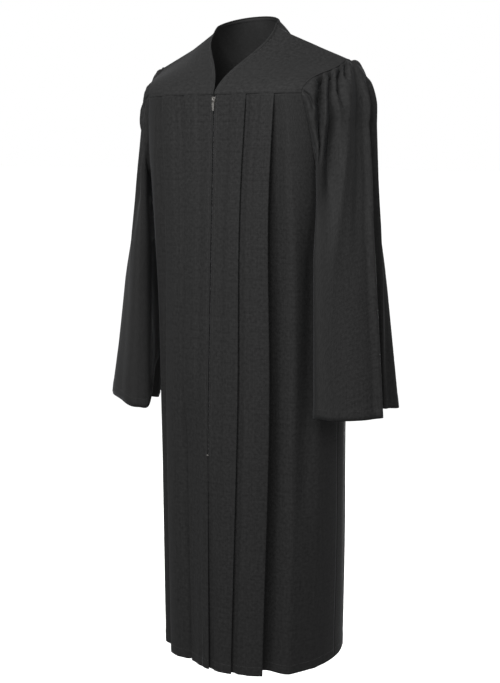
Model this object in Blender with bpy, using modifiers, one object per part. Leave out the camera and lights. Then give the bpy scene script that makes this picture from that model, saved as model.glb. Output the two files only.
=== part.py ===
"""Choir robe of plain black polyester, filled out as if worn, with nobody in it.

The robe is cut as two front yokes and a back yoke, two pleated fronts, a pleated back and two bell
sleeves gathered into the armholes. A zip closes the upper two thirds of the front. Each cloth piece is
a grid of points laid on the robe's form, given a wall by Solidify. Units are metres, +Z is up, -Y is
the front and +X is the wearer's left. Heights are measured up from the hem, and everything hangs from
an empty that puts the world origin between the wearer's shoulders.
"""

import bmesh
import bpy
import numpy as np

# Driving dimensions
HOLD_HEIGHT = 1.250  # the wearer's shoulders, above the hem
WALL = 0.0015  # cloth wall
SEAM_GAP = 0.0003  # clear gap between two pieces that are sewn together
SEAM_FLAT = 0.004  # a seam's edges run flat for this far, so that their ends face each other
YOKE_HEIGHT = 1.155  # front yoke seam, and the foot of the neck's V
BACK_YOKE_HEIGHT = 1.135
UNDERARM_HEIGHT = 0.960
FRONT_EDGE = 0.0012  # each front stops this far from the centre line, over the zip
ZIP_TOP = 1.151
ZIP_FOOT = 0.449
LAYER = 0.0024  # from one layer of a pleat to the next
RISE = 0.014  # a pleat's upper layer rises over this width, and lies flat for the last part of it
RISE_FLAT = 0.001
PARTING = 0.6  # below the zip the fronts part soon and then run on evenly: the power of that curve
PARTED = {"left": (-0.006, -0.0065), "right": (-0.003, 0.0020)}  # each edge at the hem, as (place, out)

# The body's form, one row for each level from the hem up
BODY_COLUMNS = ("height", "half_width", "middle", "front", "back", "squareness")
BODY_ROWS = (
    (0.000, 0.1935, 0.043, -0.141, 0.208, 2.10),
    (0.250, 0.1975, 0.042, -0.139, 0.205, 2.10),
    (0.500, 0.199, 0.037, -0.134, 0.195, 2.15),
    (0.800, 0.202, 0.033, -0.123, 0.175, 2.40),
    (0.960, 0.204, 0.028, -0.116, 0.160, 2.80),
    (1.050, 0.206, 0.024, -0.112, 0.150, 3.10),
    (1.155, 0.206, 0.020, -0.107, 0.140, 3.40),
)

# Where the armhole crosses each level, as a distance behind (+) or before (-) the middle
ARMHOLE_COLUMNS = ("height", "front_edge", "back_edge")
ARMHOLE_ROWS = (
    (0.960, 0.0280, 0.028),
    (0.966, 0.0020, 0.052),
    (0.985, -0.0300, 0.074),
    (1.013, -0.0520, 0.090),
    (1.070, -0.0640, 0.101),
    (1.155, -0.0790, 0.112),
)

# Knife pleats of one front, at four heights: where the folded edge lies from the centre line, how far
# the cloth laps under it, and how far the cloth beyond it is set back
PLEAT_HEIGHTS = (0.000, 0.550, 0.960, 1.155)
FRONT_PLEATS = (
    {
        "edge": (0.048, 0.059, 0.059, 0.070),
        "lap": (0.024, 0.024, 0.022, 0.022),
        "set_back": (0.0060, 0.0045, 0.0030, 0.0024),
        "ease": (0.017, 0.016, 0.017, 0.018),
    },
    {
        "edge": (0.108, 0.119, 0.119, 0.129),
        "lap": (0.026, 0.026, 0.024, 0.020),
        "set_back": (0.0180, 0.0170, 0.0140, 0.0024),
        "ease": (0.058, 0.052, 0.045, 0.022),
    },
)
BACK_PLEATS = (
    {
        "edge": (0.056, 0.050, 0.046, 0.044),
        "lap": (0.028, 0.026, 0.024, 0.022),
        "set_back": (0.0120, 0.0090, 0.0050, 0.0024),
        "ease": (0.040, 0.032, 0.024, 0.018),
    },
    {
        "edge": (0.150, 0.138, 0.122, 0.108),
        "lap": (0.030, 0.028, 0.024, 0.020),
        "set_back": (0.0160, 0.0130, 0.0080, 0.0024),
        "ease": (0.060, 0.050, 0.035, 0.022),
    },
)

# Shoulder seam, from the neck point out to the sleeve
NECK_POINT_X = 0.0665
SHOULDER_POINT_X = 0.2130
NECK_POINT_Y = 0.012
SHOULDER_POINT_Y = 0.026
SHOULDER_POINT_HEIGHT = 1.2212
SHOULDER_SLOPE = 0.445
NECK_RISE = 0.0085  # the seam turns up at the neck like a low stand
NECK_RISE_WIDTH = 0.0055
BACK_NECK = (0.0, 0.056, 1.3145)
YOKE_FALL = 0.80  # how much steeper the front yoke leaves the seam than the back yoke does
YOKE_STEP = 0.8 * SEAM_GAP  # each yoke stops this far from the shoulder seam's line
YOKE_FLAT = 0.6 * SEAM_FLAT
SHOULDER_WAYS = ((0.17, -0.86, -0.49), (-0.02, -1.00, -0.06), (-0.20, -0.96, -0.12))  # cloth's way forward
SHOULDER_WAY_PLACES = (0.0, 0.25, 1.0)
FRONT_FOOT_WAYS = ((-0.10, -0.52, -0.85), (-0.30, -0.30, -0.90))  # down onto the yoke seam, neck and armhole
BACK_LEAN = 1.1  # how much the back yoke's threads run down beside the neck as they leave the shoulder
BACK_NECK_WAY = (0.0, 0.42, -0.90)
BACK_FOOT_WAY = (0.0, 0.30, -0.95)
NECK_SHARE = 0.40  # the part of the back yoke's seam that hangs from the neck edge

# Sleeve form: lines down the left sleeve, from where each starts round the armhole (0 underarm,
# 0.25 front yoke corner, 0.5 shoulder point, 0.75 back yoke corner) to the cuff, in plan at three
# heights, and the cuff's height on each side
SLEEVE_HEIGHTS = (0.54, 0.80, 1.10)
SLEEVE_COLUMNS = ("around", "x", "y", "cuff_left", "cuff_right")
SLEEVE_LINES = (
    (0.000, (0.214, 0.213, 0.213), (0.035, 0.035, 0.030), 0.625, 0.625),
    (0.070, (0.207, 0.207, 0.208), (-0.025, -0.022, -0.022), 0.595, 0.600),
    (0.135, (0.200, 0.198, 0.193), (-0.066, -0.064, -0.060), 0.533, 0.513),
    (0.170, (0.211, 0.205, 0.199), (-0.081, -0.078, -0.070), 0.540, 0.513),
    (0.300, (0.254, 0.244, 0.231), (-0.072, -0.060, -0.040), 0.538, 0.522),
    (0.450, (0.306, 0.285, 0.251), (0.002, 0.006, 0.026), 0.539, 0.518),
    (0.530, (0.262, 0.264, 0.251), (0.062, 0.054, 0.062), 0.540, 0.502),
    (0.620, (0.298, 0.270, 0.238), (0.108, 0.102, 0.096), 0.535, 0.500),
    (0.740, (0.256, 0.236, 0.217), (0.146, 0.132, 0.117), 0.540, 0.508),
    (0.860, (0.214, 0.207, 0.205), (0.133, 0.122, 0.108), 0.560, 0.525),
    (0.930, (0.212, 0.211, 0.211), (0.090, 0.083, 0.073), 0.595, 0.570),
)
# How far each sleeve spreads out from its inner side, at the three heights
SLEEVE_INNER = 0.205
SLEEVE_SPREAD = {"left": (1.00, 1.00, 1.00), "right": (1.19, 1.07, 0.88)}
CUFF_DROP = 0.05  # below the lowest of the three heights the sleeve runs on as it was, for this far
SLEEVE_CLEAR = WALL / 2 + 1.5 * SEAM_GAP  # where the sleeve's cloth starts, out from the armhole seam
HEAD_CLEAR = 1.6 * SEAM_GAP  # and further where it leaves the seam straight on
CHEST_POINT = (0.10, 0.02, 1.0)  # inside the robe, to tell which way is out
# How the sleeve leaves the armhole seam: its turn from the body's cloth in degrees, and the drop in
# which it turns to hang
HEAD_AROUND = (0.00, 0.08, 0.15, 0.20, 0.25, 0.50, 0.75, 0.80, 0.86, 0.92, 1.00)
HEAD_TURN = (165.0, 140.0, 105.0, 70.0, 40.0, 30.0, 40.0, 70.0, 105.0, 140.0, 165.0)
HEAD_DROP = (0.030, 0.035, 0.045, 0.055, 0.065, 0.095, 0.065, 0.055, 0.045, 0.035, 0.030)
HEAD_OUT = 0.20  # how far the cloth keeps its first way, and its last, as a part of that distance
HEAD_DOWN = 0.62

# Gathers of the sleeve's head: where each ridge stands round the armhole, its height, and its reach
GATHER_COLUMNS = ("around", "height", "reach")
GATHERS = (
    (0.285, 0.0030, 0.060),
    (0.357, 0.0055, 0.095),
    (0.420, 0.0045, 0.060),
    (0.465, 0.0034, 0.050),
    (0.512, 0.0032, 0.110),
    (0.560, 0.0034, 0.080),
    (0.604, 0.0040, 0.055),
    (0.655, 0.0050, 0.090),
    (0.705, 0.0045, 0.060),
    (0.748, 0.0030, 0.050),
)

GATHERS_FROM = 0.24  # the gathers start here round the armhole and end here, fading over this much
GATHERS_TO = 0.79
GATHERS_FADE = 0.03
GATHERS_GROW = 0.014  # and reach their height this far down from the seam
ROUND_STEP = 0.004  # how far ahead and behind a point the seam's own direction is taken
ARMHOLE_INSIDE = 0.004  # how far inside the armhole's edge the cloth's slope is taken

# Zip
TAPE_EDGE = 0.0026  # each tape runs from here, past a point of the fronts' own section, to its outer edge
TAPE_FOLD = 0.0050
TAPE_END = 0.0155
TAPE_WALL = 0.0010
CHAIN_HALF_WIDTH = 0.0020
CHAIN_WALL = 0.0018
CHAIN_CLEAR = 0.0004  # the chain's gap to the fronts
SLIDER_WIDTH = 0.0080
SLIDER_LENGTH = 0.0110
PLATE = 0.0012
POST_WIDTH = 0.0016
POST_LENGTH = 0.0060
BRIDGE_WIDTH = 0.0014
BRIDGE_BAR = 0.0010
BRIDGE_LENGTH = 0.0062
BRIDGE_CLEAR = 0.0022
PULL_LENGTH = 0.0265
PULL_WIDTH = 0.0056
PULL_WALL = 0.0010
PULL_RAIL = 0.0011
PULL_WINDOW = 0.0056
STOP_WIDTH = 0.0046
STOP_LENGTH = 0.0030

# Rows of the cloth grids, as heights
FRONT_ROWS = (YOKE_HEIGHT, YOKE_HEIGHT - SEAM_FLAT, 1.115, 1.070, 1.035, 1.013, 0.985, 0.966,
              UNDERARM_HEIGHT, 0.900, 0.800, 0.660, 0.550, ZIP_FOOT, 0.330, 0.180, 0.060, 0.000)
BACK_ROWS = (BACK_YOKE_HEIGHT, BACK_YOKE_HEIGHT - SEAM_FLAT, 1.100, 1.060, 1.013, 0.985, 0.966,
             UNDERARM_HEIGHT, 0.900, 0.800, 0.660, 0.550, ZIP_FOOT, 0.330, 0.180, 0.060, 0.000)
# Threads of the yokes: places along the shoulder seam and the back neck, and steps down each thread
SHOULDER_COLUMNS = (0.00, 0.05, 0.12, 0.25, 0.42, 0.61, 0.80, 0.97, 1.00)
NECK_COLUMNS = (0.0, 0.2, 0.4, 0.6, 0.8, 1.0)
YOKE_STEPS = (0.00, 0.14, 0.28, 0.42, 0.57, 0.72, 0.86, 1.00)
# Rows of the sleeves: down the turn from the armhole, then down to the cuff
TURN_ROWS = (0.0, 0.05, 0.16, 0.34, 0.60, 1.0)
HANG_ROWS = (0.12, 0.30, 0.52, 0.76, 1.0)
RING_STEPS = 241

ROBE_BLACK = (0.030, 0.030, 0.031)
TAPE_BLACK = (0.022, 0.022, 0.024)
ZIP_METAL = (0.55, 0.55, 0.56)


# Curves and the body's form
def curve(at, knots, values):
    """A smooth line through values at rising knots, read at one place or many."""
    knots = np.asarray(knots, float)
    values = np.asarray(values, float)
    slope = np.gradient(values, knots)
    at = np.clip(at, knots[0], knots[-1])
    i = np.clip(np.searchsorted(knots, at) - 1, 0, len(knots) - 2)
    width = knots[i + 1] - knots[i]
    t = (at - knots[i]) / width
    start = (1 + 2 * t) * (1 - t) ** 2 * values[i] + width * t * (1 - t) ** 2 * slope[i]
    end = t * t * (3 - 2 * t) * values[i + 1] - width * t * t * (1 - t) * slope[i + 1]
    return start + end


def column(rows, names, name):
    """One named column of a table."""
    return [row[names.index(name)] for row in rows]


def body(name, height):
    return curve(height, column(BODY_ROWS, BODY_COLUMNS, "height"), column(BODY_ROWS, BODY_COLUMNS, name))


def ring(height):
    """Half of the body's section, from centre front round the wearer's left to centre back.

    Gives the points and the length run at each."""
    middle = body("middle", height)
    turn = np.linspace(0, np.pi, RING_STEPS)
    power = 2 / body("squareness", height)
    across = body("half_width", height) * np.sin(turn) ** power
    reach = np.where(turn < np.pi / 2, middle - body("front", height), body("back", height) - middle)
    along = middle - reach * np.sign(np.cos(turn)) * np.abs(np.cos(turn)) ** power
    points = np.stack([across, along], 1)
    run = np.concatenate([[0], np.cumsum(np.linalg.norm(np.diff(points, axis=0), axis=1))])
    return points, run


def on_ring(height, places, out):
    """Points on the body's form: places are lengths from centre front, out is how far they stand off."""
    points, run = ring(height)
    places = np.asarray(places, float)
    side = np.where(places < 0, -1.0, 1.0)
    way = np.gradient(points, run, axis=0)
    way /= np.linalg.norm(way, axis=1)[:, None]
    at = np.abs(places)
    x = np.interp(at, run, points[:, 0]) + out * np.interp(at, run, way[:, 1])
    y = np.interp(at, run, points[:, 1]) - out * np.interp(at, run, way[:, 0])
    return np.stack([side * x, y, np.full_like(x, height)], 1)


def length_to(height, y, behind):
    """The length from centre front to where the form passes y, on its front or back quarter."""
    points, run = ring(height)
    turning = int(np.argmax(points[:, 0]))
    part = slice(turning, None) if behind else slice(0, turning + 1)
    return float(np.interp(y, points[part, 1], run[part]))


def armhole_place(height, behind):
    """Where the outer edge of a front or back piece lies at this height: the armhole, or the side seam."""
    name = "back_edge" if behind else "front_edge"
    if height <= UNDERARM_HEIGHT:
        return length_to(height, body("middle", height), behind)
    heights = column(ARMHOLE_ROWS, ARMHOLE_COLUMNS, "height")
    y = np.interp(height, heights, column(ARMHOLE_ROWS, ARMHOLE_COLUMNS, name))
    return length_to(height, y, behind)


# Pleats
def pleat(shape, height):
    """One knife pleat as (place, out) pairs: the upper layer, the fold under it, and the next stretch."""
    edge, lap, back, ease = (curve(height, PLEAT_HEIGHTS, shape[n]) for n in ("edge", "lap", "set_back", "ease"))
    return [
        (edge - lap - RISE, 0.0),
        (edge - lap - RISE_FLAT, LAYER),
        (edge, LAYER),
        (edge, 0.0),
        (edge - lap, LAYER - back),
        (edge - lap, -back),
        (edge + 0.002, -back),
        (edge + 0.40 * ease, -0.75 * back),
        (edge + 0.75 * ease, -0.20 * back),
        (edge + ease, 0.0),
    ]


def front_section(height, side):
    """The front's section at a height, from its centre edge to the armhole or side seam."""
    parted = np.clip((ZIP_FOOT - height) / ZIP_FOOT, 0, 1) ** PARTING
    place, out = PARTED[side]
    edge = FRONT_EDGE + parted * (place - FRONT_EDGE)
    pairs = [(edge, parted * out), (TAPE_FOLD, parted * out * 0.8), (TAPE_END, parted * out * 0.3)]
    for shape in FRONT_PLEATS:
        pairs += pleat(shape, height)
    last = pairs[-1][0]
    outer = armhole_place(height, behind=False) - side_gap(height)
    pairs += [(last + (outer - last) * part, 0.0) for part in (0.15, 0.30, 0.45, 0.60, 0.75, 0.88, 0.97, 1.0)]
    return pairs


def side_gap(height):
    """Half a seam's gap at the side seam. The armhole's own gap is left by the sleeve."""
    return SEAM_GAP / 2 if height <= UNDERARM_HEIGHT else 0.0


def back_section(height):
    """Half of the back's section, from centre back to the armhole or side seam, measured from centre back."""
    _, run = ring(height)
    pairs = [(0.0, 0.0)]
    for shape in BACK_PLEATS:
        pairs += pleat(shape, height)
    last = pairs[-1][0]
    outer = run[-1] - armhole_place(height, behind=True) - side_gap(height)
    pairs += [(last + (outer - last) * part, 0.0) for part in (0.25, 0.5, 0.75, 0.97, 1.0)]
    return pairs


def level_form(height, seam_height):
    """The level whose form a row takes: the last rows before a yoke seam hang straight."""
    return seam_height if height > seam_height - 1.5 * SEAM_FLAT else height


def front_row(height, places, out):
    row = on_ring(level_form(height, YOKE_HEIGHT), places, out)
    row[:, 2] = height
    return row


def front_grid(side):
    rows = []
    for height in FRONT_ROWS:
        places, out = np.array(front_section(level_form(height, YOKE_HEIGHT), side)).T
        rows.append(front_row(height, places, out))
    return mirrored(np.array(rows), side)


def back_grid():
    rows = []
    for height in BACK_ROWS:
        form = level_form(height, BACK_YOKE_HEIGHT)
        _, run = ring(form)
        places, out = np.array(back_section(form)).T
        left = on_ring(form, run[-1] - places, out)
        left[:, 2] = height
        right = left[:0:-1] * (-1, 1, 1)
        rows.append(np.concatenate([right, left]))
    return np.array(rows)


def mirrored(grid, side):
    return grid if side == "left" else grid * (-1, 1, 1)


# Yokes
def thread(start, start_way, end, end_way, t):
    """A smooth thread from one seam to another, leaving and arriving along the given ways."""
    length = np.linalg.norm(end - start, axis=-1, keepdims=True)
    t = t[:, None, None]
    a = (1 + 2 * t) * (1 - t) ** 2 * start + t * (1 - t) ** 2 * start_way * length
    b = t * t * (3 - 2 * t) * end - t * t * (1 - t) * end_way * length
    return a + b


def unit(v):
    v = np.asarray(v, float)
    return v / np.linalg.norm(v, axis=-1, keepdims=True)


def shoulder_seam(u):
    """The left shoulder seam, u from 0 at the neck point to 1 at the shoulder point."""
    x = NECK_POINT_X + u * (SHOULDER_POINT_X - NECK_POINT_X)
    rise = NECK_RISE * np.exp(-(x - NECK_POINT_X) / NECK_RISE_WIDTH)
    height = SHOULDER_POINT_HEIGHT + SHOULDER_SLOPE * (SHOULDER_POINT_X - x) + rise
    y = NECK_POINT_Y + np.minimum(2 * u, 1.0) * (SHOULDER_POINT_Y - NECK_POINT_Y)
    return np.stack([x, y, height], 1)


def shoulder_way(u):
    """The way in which the cloth runs forward over the shoulder seam."""
    parts = [curve(u, SHOULDER_WAY_PLACES, [way[axis] for way in SHOULDER_WAYS]) for axis in range(3)]
    return unit(np.stack(parts, 1))


def front_yoke_grid(side, columns, rows):
    """Threads run from the shoulder seam to the yoke seam. The first is the neck edge, the last the armhole."""
    outer = armhole_place(YOKE_HEIGHT, behind=False)
    foot = on_ring(YOKE_HEIGHT, FRONT_EDGE + columns * (outer - FRONT_EDGE), 0.0)
    foot[:, 2] = YOKE_HEIGHT + SEAM_GAP + SEAM_FLAT
    start_way = shoulder_way(columns)
    start = shoulder_seam(columns) + start_way * YOKE_STEP
    sweep = columns[:, None] ** 2
    end_way = unit((1 - sweep) * np.array(FRONT_FOOT_WAYS[0]) + sweep * np.array(FRONT_FOOT_WAYS[1]))
    falling = unit(start_way + np.array([0.0, 0.0, -YOKE_FALL]))
    grid = thread(start, falling, foot, end_way, rows)
    flat = start + start_way * YOKE_FLAT
    hem = foot.copy()
    hem[:, 2] = YOKE_HEIGHT + SEAM_GAP
    return mirrored(np.concatenate([grid[:1], flat[None], grid[1:], hem[None]]), side)


def back_yoke_grid(columns, neck_columns, rows):
    """Threads run from the shoulder seams and the back neck down to the back yoke seam."""
    shoulder_start_way = shoulder_way(columns) * -1.0
    lean = BACK_LEAN * (1 - columns[:, None]) ** 2
    downhill = unit(shoulder_seam(np.array([0.06])) - shoulder_seam(np.array([0.0])))
    shoulder_ways = unit(shoulder_start_way + lean * downhill)
    shoulder = shoulder_seam(columns) - shoulder_way(columns) * YOKE_STEP
    neck_point = shoulder_seam(np.array([0.0]))[0]
    neck = back_neck(neck_point, neck_columns)
    blend = neck_columns[:, None]
    neck_ways = unit((1 - blend) * shoulder_ways[:1] + blend * np.array(BACK_NECK_WAY))
    half = np.concatenate([neck[::-1], shoulder[1:]])
    half_ways = np.concatenate([neck_ways[::-1], shoulder_ways[1:]])
    start = np.concatenate([half[:0:-1] * (-1, 1, 1), half])
    start_way = np.concatenate([half_ways[:0:-1] * (-1, 1, 1), half_ways])

    _, run = ring(BACK_YOKE_HEIGHT)
    outer = run[-1] - armhole_place(BACK_YOKE_HEIGHT, behind=True)
    spread = np.concatenate([(1 - neck_columns[::-1]) * NECK_SHARE, NECK_SHARE + (1 - NECK_SHARE) * columns[1:]])
    places = run[-1] - spread * outer
    half_foot = on_ring(BACK_YOKE_HEIGHT, places, 0.0)
    foot = np.concatenate([half_foot[:0:-1] * (-1, 1, 1), half_foot])
    foot[:, 2] = BACK_YOKE_HEIGHT + SEAM_GAP + SEAM_FLAT
    end_way = unit(np.tile(np.array(BACK_FOOT_WAY), (len(foot), 1)))
    grid = thread(start, start_way, foot, end_way, rows)
    flat = start + start_way * YOKE_FLAT
    hem = foot.copy()
    hem[:, 2] = BACK_YOKE_HEIGHT + SEAM_GAP
    return np.concatenate([grid[:1], flat[None], grid[1:], hem[None]])


def back_neck(neck_point, part):
    """The back neck edge, part from 0 at the neck point to 1 at centre back."""
    turn = part * np.pi / 2
    x = neck_point[0] * np.cos(turn)
    y = neck_point[1] + (BACK_NECK[1] - neck_point[1]) * np.sin(turn)
    height = neck_point[2] + (BACK_NECK[2] - neck_point[2]) * np.sin(turn)
    return np.stack([x, y, height], 1)


# Sleeves
def panel_edge(rows, yoke_height, behind, step):
    """A front's or back's armhole edge from the underarm up, on the straight lines between its rows."""
    heights = [h for h in rows if h >= UNDERARM_HEIGHT][::-1]
    points = []
    for height in heights:
        form = level_form(height, yoke_height)
        place = armhole_place(form, behind) + step
        point = on_ring(form, [place], 0.0)[0]
        point[2] = height
        points.append(point)
    return np.array(points)


def armhole_edges():
    """The body's edge round the left armhole from the underarm up the front and down the back.

    Gives how far round each point lies, the edge points, and the points just inside them."""
    front = [panel_edge(FRONT_ROWS, YOKE_HEIGHT, False, step) for step in (0.0, -ARMHOLE_INSIDE)]
    back = [panel_edge(BACK_ROWS, BACK_YOKE_HEIGHT, True, step)[::-1] for step in (0.0, ARMHOLE_INSIDE)]
    columns = np.array(SHOULDER_COLUMNS)
    yoke = front_yoke_grid("left", columns, np.array(YOKE_STEPS))[::-1]
    back_yoke = back_yoke_grid(columns, np.array(NECK_COLUMNS), np.array(YOKE_STEPS))
    pieces = [front, (yoke[:, -1], yoke[:, -2]), (back_yoke[:, -1], back_yoke[:, -2]), back]
    around = []
    for quarter, (edge, _) in enumerate(pieces):
        run = np.concatenate([[0], np.cumsum(np.linalg.norm(np.diff(edge, axis=0), axis=1))])
        around.append(quarter / 4 + run / run[-1] / 4)
    known = np.concatenate([part[:-1] for part in around[:3]] + [around[3]])
    edges = np.concatenate([piece[0][:-1] for piece in pieces[:3]] + [pieces[3][0]])
    inner = np.concatenate([piece[1][:-1] for piece in pieces[:3]] + [pieces[3][1]])
    return known, edges, inner


def read_round(around, known, values):
    return np.stack([np.interp(around, known, values[:, axis]) for axis in range(3)], 1)


def sleeve_line(name, around, height=None):
    """A column of the sleeve's table read round the sleeve, and at heights where it has several."""
    starts = column(SLEEVE_LINES, SLEEVE_COLUMNS, "around")
    values = column(SLEEVE_LINES, SLEEVE_COLUMNS, name)
    count = len(starts)
    knots = [starts[(k % count)] + k // count for k in range(-3, count + 4)]
    if height is None:
        return curve(around, knots, [values[k % count] for k in range(-3, count + 4)])
    levels = [curve(around, knots, [values[k % count][level] for k in range(-3, count + 4)]) for level in range(3)]
    low, middle, high = SLEEVE_HEIGHTS
    at = np.clip(height, low - CUFF_DROP, high)
    below = (at - low) / (middle - low)
    above = (at - middle) / (high - middle)
    return np.where(at < middle, levels[0] + (levels[1] - levels[0]) * below, levels[1] + (levels[2] - levels[1]) * above)


def hanging(around, height, side):
    """Where the sleeve's cloth hangs in plan."""
    x = sleeve_line("x", around, height)
    y = sleeve_line("y", around, height)
    spread = np.interp(height, SLEEVE_HEIGHTS, SLEEVE_SPREAD[side])
    return SLEEVE_INNER + (x - SLEEVE_INNER) * spread, y


def gather(around, drop):
    """How far the gathers lift the cloth at each place round the sleeve's head."""
    ridges = np.array(column(GATHERS, GATHER_COLUMNS, "around"))
    step = np.interp(around, ridges, np.arange(len(ridges)))
    height = np.interp(around, ridges, column(GATHERS, GATHER_COLUMNS, "height"))
    reach = np.interp(around, ridges, column(GATHERS, GATHER_COLUMNS, "reach"))
    start = np.clip((around - GATHERS_FROM) / GATHERS_FADE, 0, 1)
    ends = start * np.clip((GATHERS_TO - around) / GATHERS_FADE, 0, 1)
    grow = np.clip(drop / GATHERS_GROW, 0, 1)
    return height * ends * grow * np.exp(-((drop / reach) ** 2)) * np.cos(2 * np.pi * step)


def sleeve_grid(side, around, turn_rows, hang_rows):
    """Threads run from the armhole, turn down, and hang to the cuff."""
    known, edge, inner = armhole_edges()
    seam = read_round(around, known, edge)
    into = read_round(around, known, inner)
    ahead = read_round(np.mod(around + ROUND_STEP, 1), known, edge)
    behind = read_round(np.mod(around - ROUND_STEP, 1), known, edge)
    normal = unit(np.cross(ahead - behind, into - seam))
    normal *= np.sign(np.sum(normal * (seam - np.array(CHEST_POINT)), axis=1))[:, None]
    onward = unit(np.cross(normal, ahead - behind))
    onward *= np.sign(np.sum(onward * (seam - into), axis=1))[:, None]

    turn = np.radians(np.interp(around, HEAD_AROUND, HEAD_TURN))
    straight = np.clip(np.cos(turn), 0, 1)
    stand_on = SLEEVE_CLEAR * np.sin(turn) + HEAD_CLEAR * straight
    stand_off = WALL / 2 - SLEEVE_CLEAR * np.cos(turn) + SEAM_GAP * straight
    start = seam + onward * stand_on[:, None] + normal * stand_off[:, None]
    way = onward * np.cos(turn)[:, None] + normal * np.sin(turn)[:, None]

    drop = np.interp(around, HEAD_AROUND, HEAD_DROP)
    foot_height = start[:, 2] - drop
    x, y = hanging(around, foot_height, side)
    foot = np.stack([x, y, foot_height], 1)
    reach = np.linalg.norm(foot - start, axis=1)[:, None]
    rows = []
    for t in turn_rows:
        a = start
        b = start + way * HEAD_OUT * reach
        c = foot + np.array([0.0, 0.0, 1.0]) * HEAD_DOWN * reach
        rows.append((1 - t) ** 3 * a + 3 * t * (1 - t) ** 2 * b + 3 * t * t * (1 - t) * c + t**3 * foot)
    cuff = sleeve_line("cuff_" + side, around)
    for t in hang_rows:
        height = foot_height + (cuff - foot_height) * t
        x, y = hanging(around, height, side)
        rows.append(np.stack([x, y, height], 1))
    grid = np.array(rows)
    return mirrored(raise_gathers(grid, around), side)


def raise_gathers(grid, around):
    """Moves the head's points out and in along the cloth's own normal."""
    run = np.zeros(grid.shape[:2])
    run[1:] = np.cumsum(np.linalg.norm(np.diff(grid, axis=0), axis=2), axis=0)
    down = np.gradient(grid, axis=0)
    round_way = np.roll(grid, -1, axis=1) - np.roll(grid, 1, axis=1)
    normal = unit(np.cross(down, round_way))
    lift = np.array([gather(around, drop) for drop in run])
    return grid + normal * lift[:, :, None]


def sleeve_columns():
    """Places round the sleeve: four for each gather, and a few down the plain underarm."""
    ridges = column(GATHERS, GATHER_COLUMNS, "around")
    places = [0.0, 0.035, 0.07, 0.105, 0.135, 0.152, 0.170, 0.195, 0.220, 0.245, 0.265]
    for near, far in zip(ridges, ridges[1:]):
        places += [near + (far - near) * part for part in (0.0, 0.25, 0.5, 0.75)]
    places += [ridges[-1], 0.770, 0.800, 0.830, 0.860, 0.895, 0.930, 0.965]
    return np.array(places)


# Zip
def front_at(heights, places, out):
    """Points on the fronts' cloth at any heights, on the straight lines between its rows."""
    known = np.array([front_row(height, places, out) for height in FRONT_ROWS])
    flat = known.reshape(len(FRONT_ROWS), -1)
    levels = np.array(FRONT_ROWS)
    read = [np.interp(heights, levels[::-1], flat[::-1, k]) for k in range(flat.shape[1])]
    return np.stack(read, 1).reshape(len(heights), -1, 3)


def front_depth(height):
    """Where the fronts' cloth lies at centre front."""
    return float(front_at([height], [0.0], 0.0)[0, 0, 1])


def zip_strip(places, top, foot, inside):
    """A strip on the fronts' inner side, in step with their rows."""
    heights = [top] + [h for h in FRONT_ROWS if foot + 0.002 < h < top - 0.002] + [foot]
    return front_at(heights, places, -inside)


# Meshes
def material(name, colour, roughness, metallic=0.0):
    made = bpy.data.materials.new(name)
    made.use_nodes = True
    shader = made.node_tree.nodes["Principled BSDF"]
    shader.inputs["Base Color"].default_value = (*colour, 1.0)
    shader.inputs["Roughness"].default_value = roughness
    shader.inputs["Metallic"].default_value = metallic
    return made


def add_object(name, mesh, finish):
    made = bpy.data.objects.new(name, mesh)
    robe.objects.link(made)
    made.parent = hanger
    mesh.materials.append(finish)
    return made


def sheet(name, grid, finish, closed=False, wall=WALL, missing=()):
    """A sheet over the grid's points, without its missing cells, given its wall by Solidify."""
    rows, columns = grid.shape[:2]
    points = grid.reshape(-1, 3).tolist()
    last = columns if closed else columns - 1
    faces = []
    for r in range(rows - 1):
        for c in range(last):
            if (r, c) in missing:
                continue
            d = (c + 1) % columns
            faces.append((r * columns + c, r * columns + d, (r + 1) * columns + d, (r + 1) * columns + c))
    mesh = bpy.data.meshes.new(name)
    mesh.from_pydata(points, [], faces)
    mesh.update()
    mesh.shade_smooth()
    made = add_object(name, mesh, finish)
    solid = made.modifiers.new("cloth wall", "SOLIDIFY")
    solid.thickness = wall
    solid.offset = 0.0
    return made


def block(name, low, high, finish):
    """A plain block between two corners."""
    shape = bmesh.new()
    bmesh.ops.create_cube(shape, size=1.0)
    size = np.subtract(high, low)
    bmesh.ops.scale(shape, vec=size, verts=shape.verts)
    bmesh.ops.translate(shape, vec=np.add(low, high) / 2, verts=shape.verts)
    mesh = bpy.data.meshes.new(name)
    shape.to_mesh(mesh)
    shape.free()
    return add_object(name, mesh, finish)


def join(base, others):
    """Joins overlapping blocks into one body."""
    for other in others:
        union = base.modifiers.new("join " + other.name, "BOOLEAN")
        union.operation = "UNION"
        union.object = other
        other.hide_render = True
        other.display_type = "WIRE"


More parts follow.
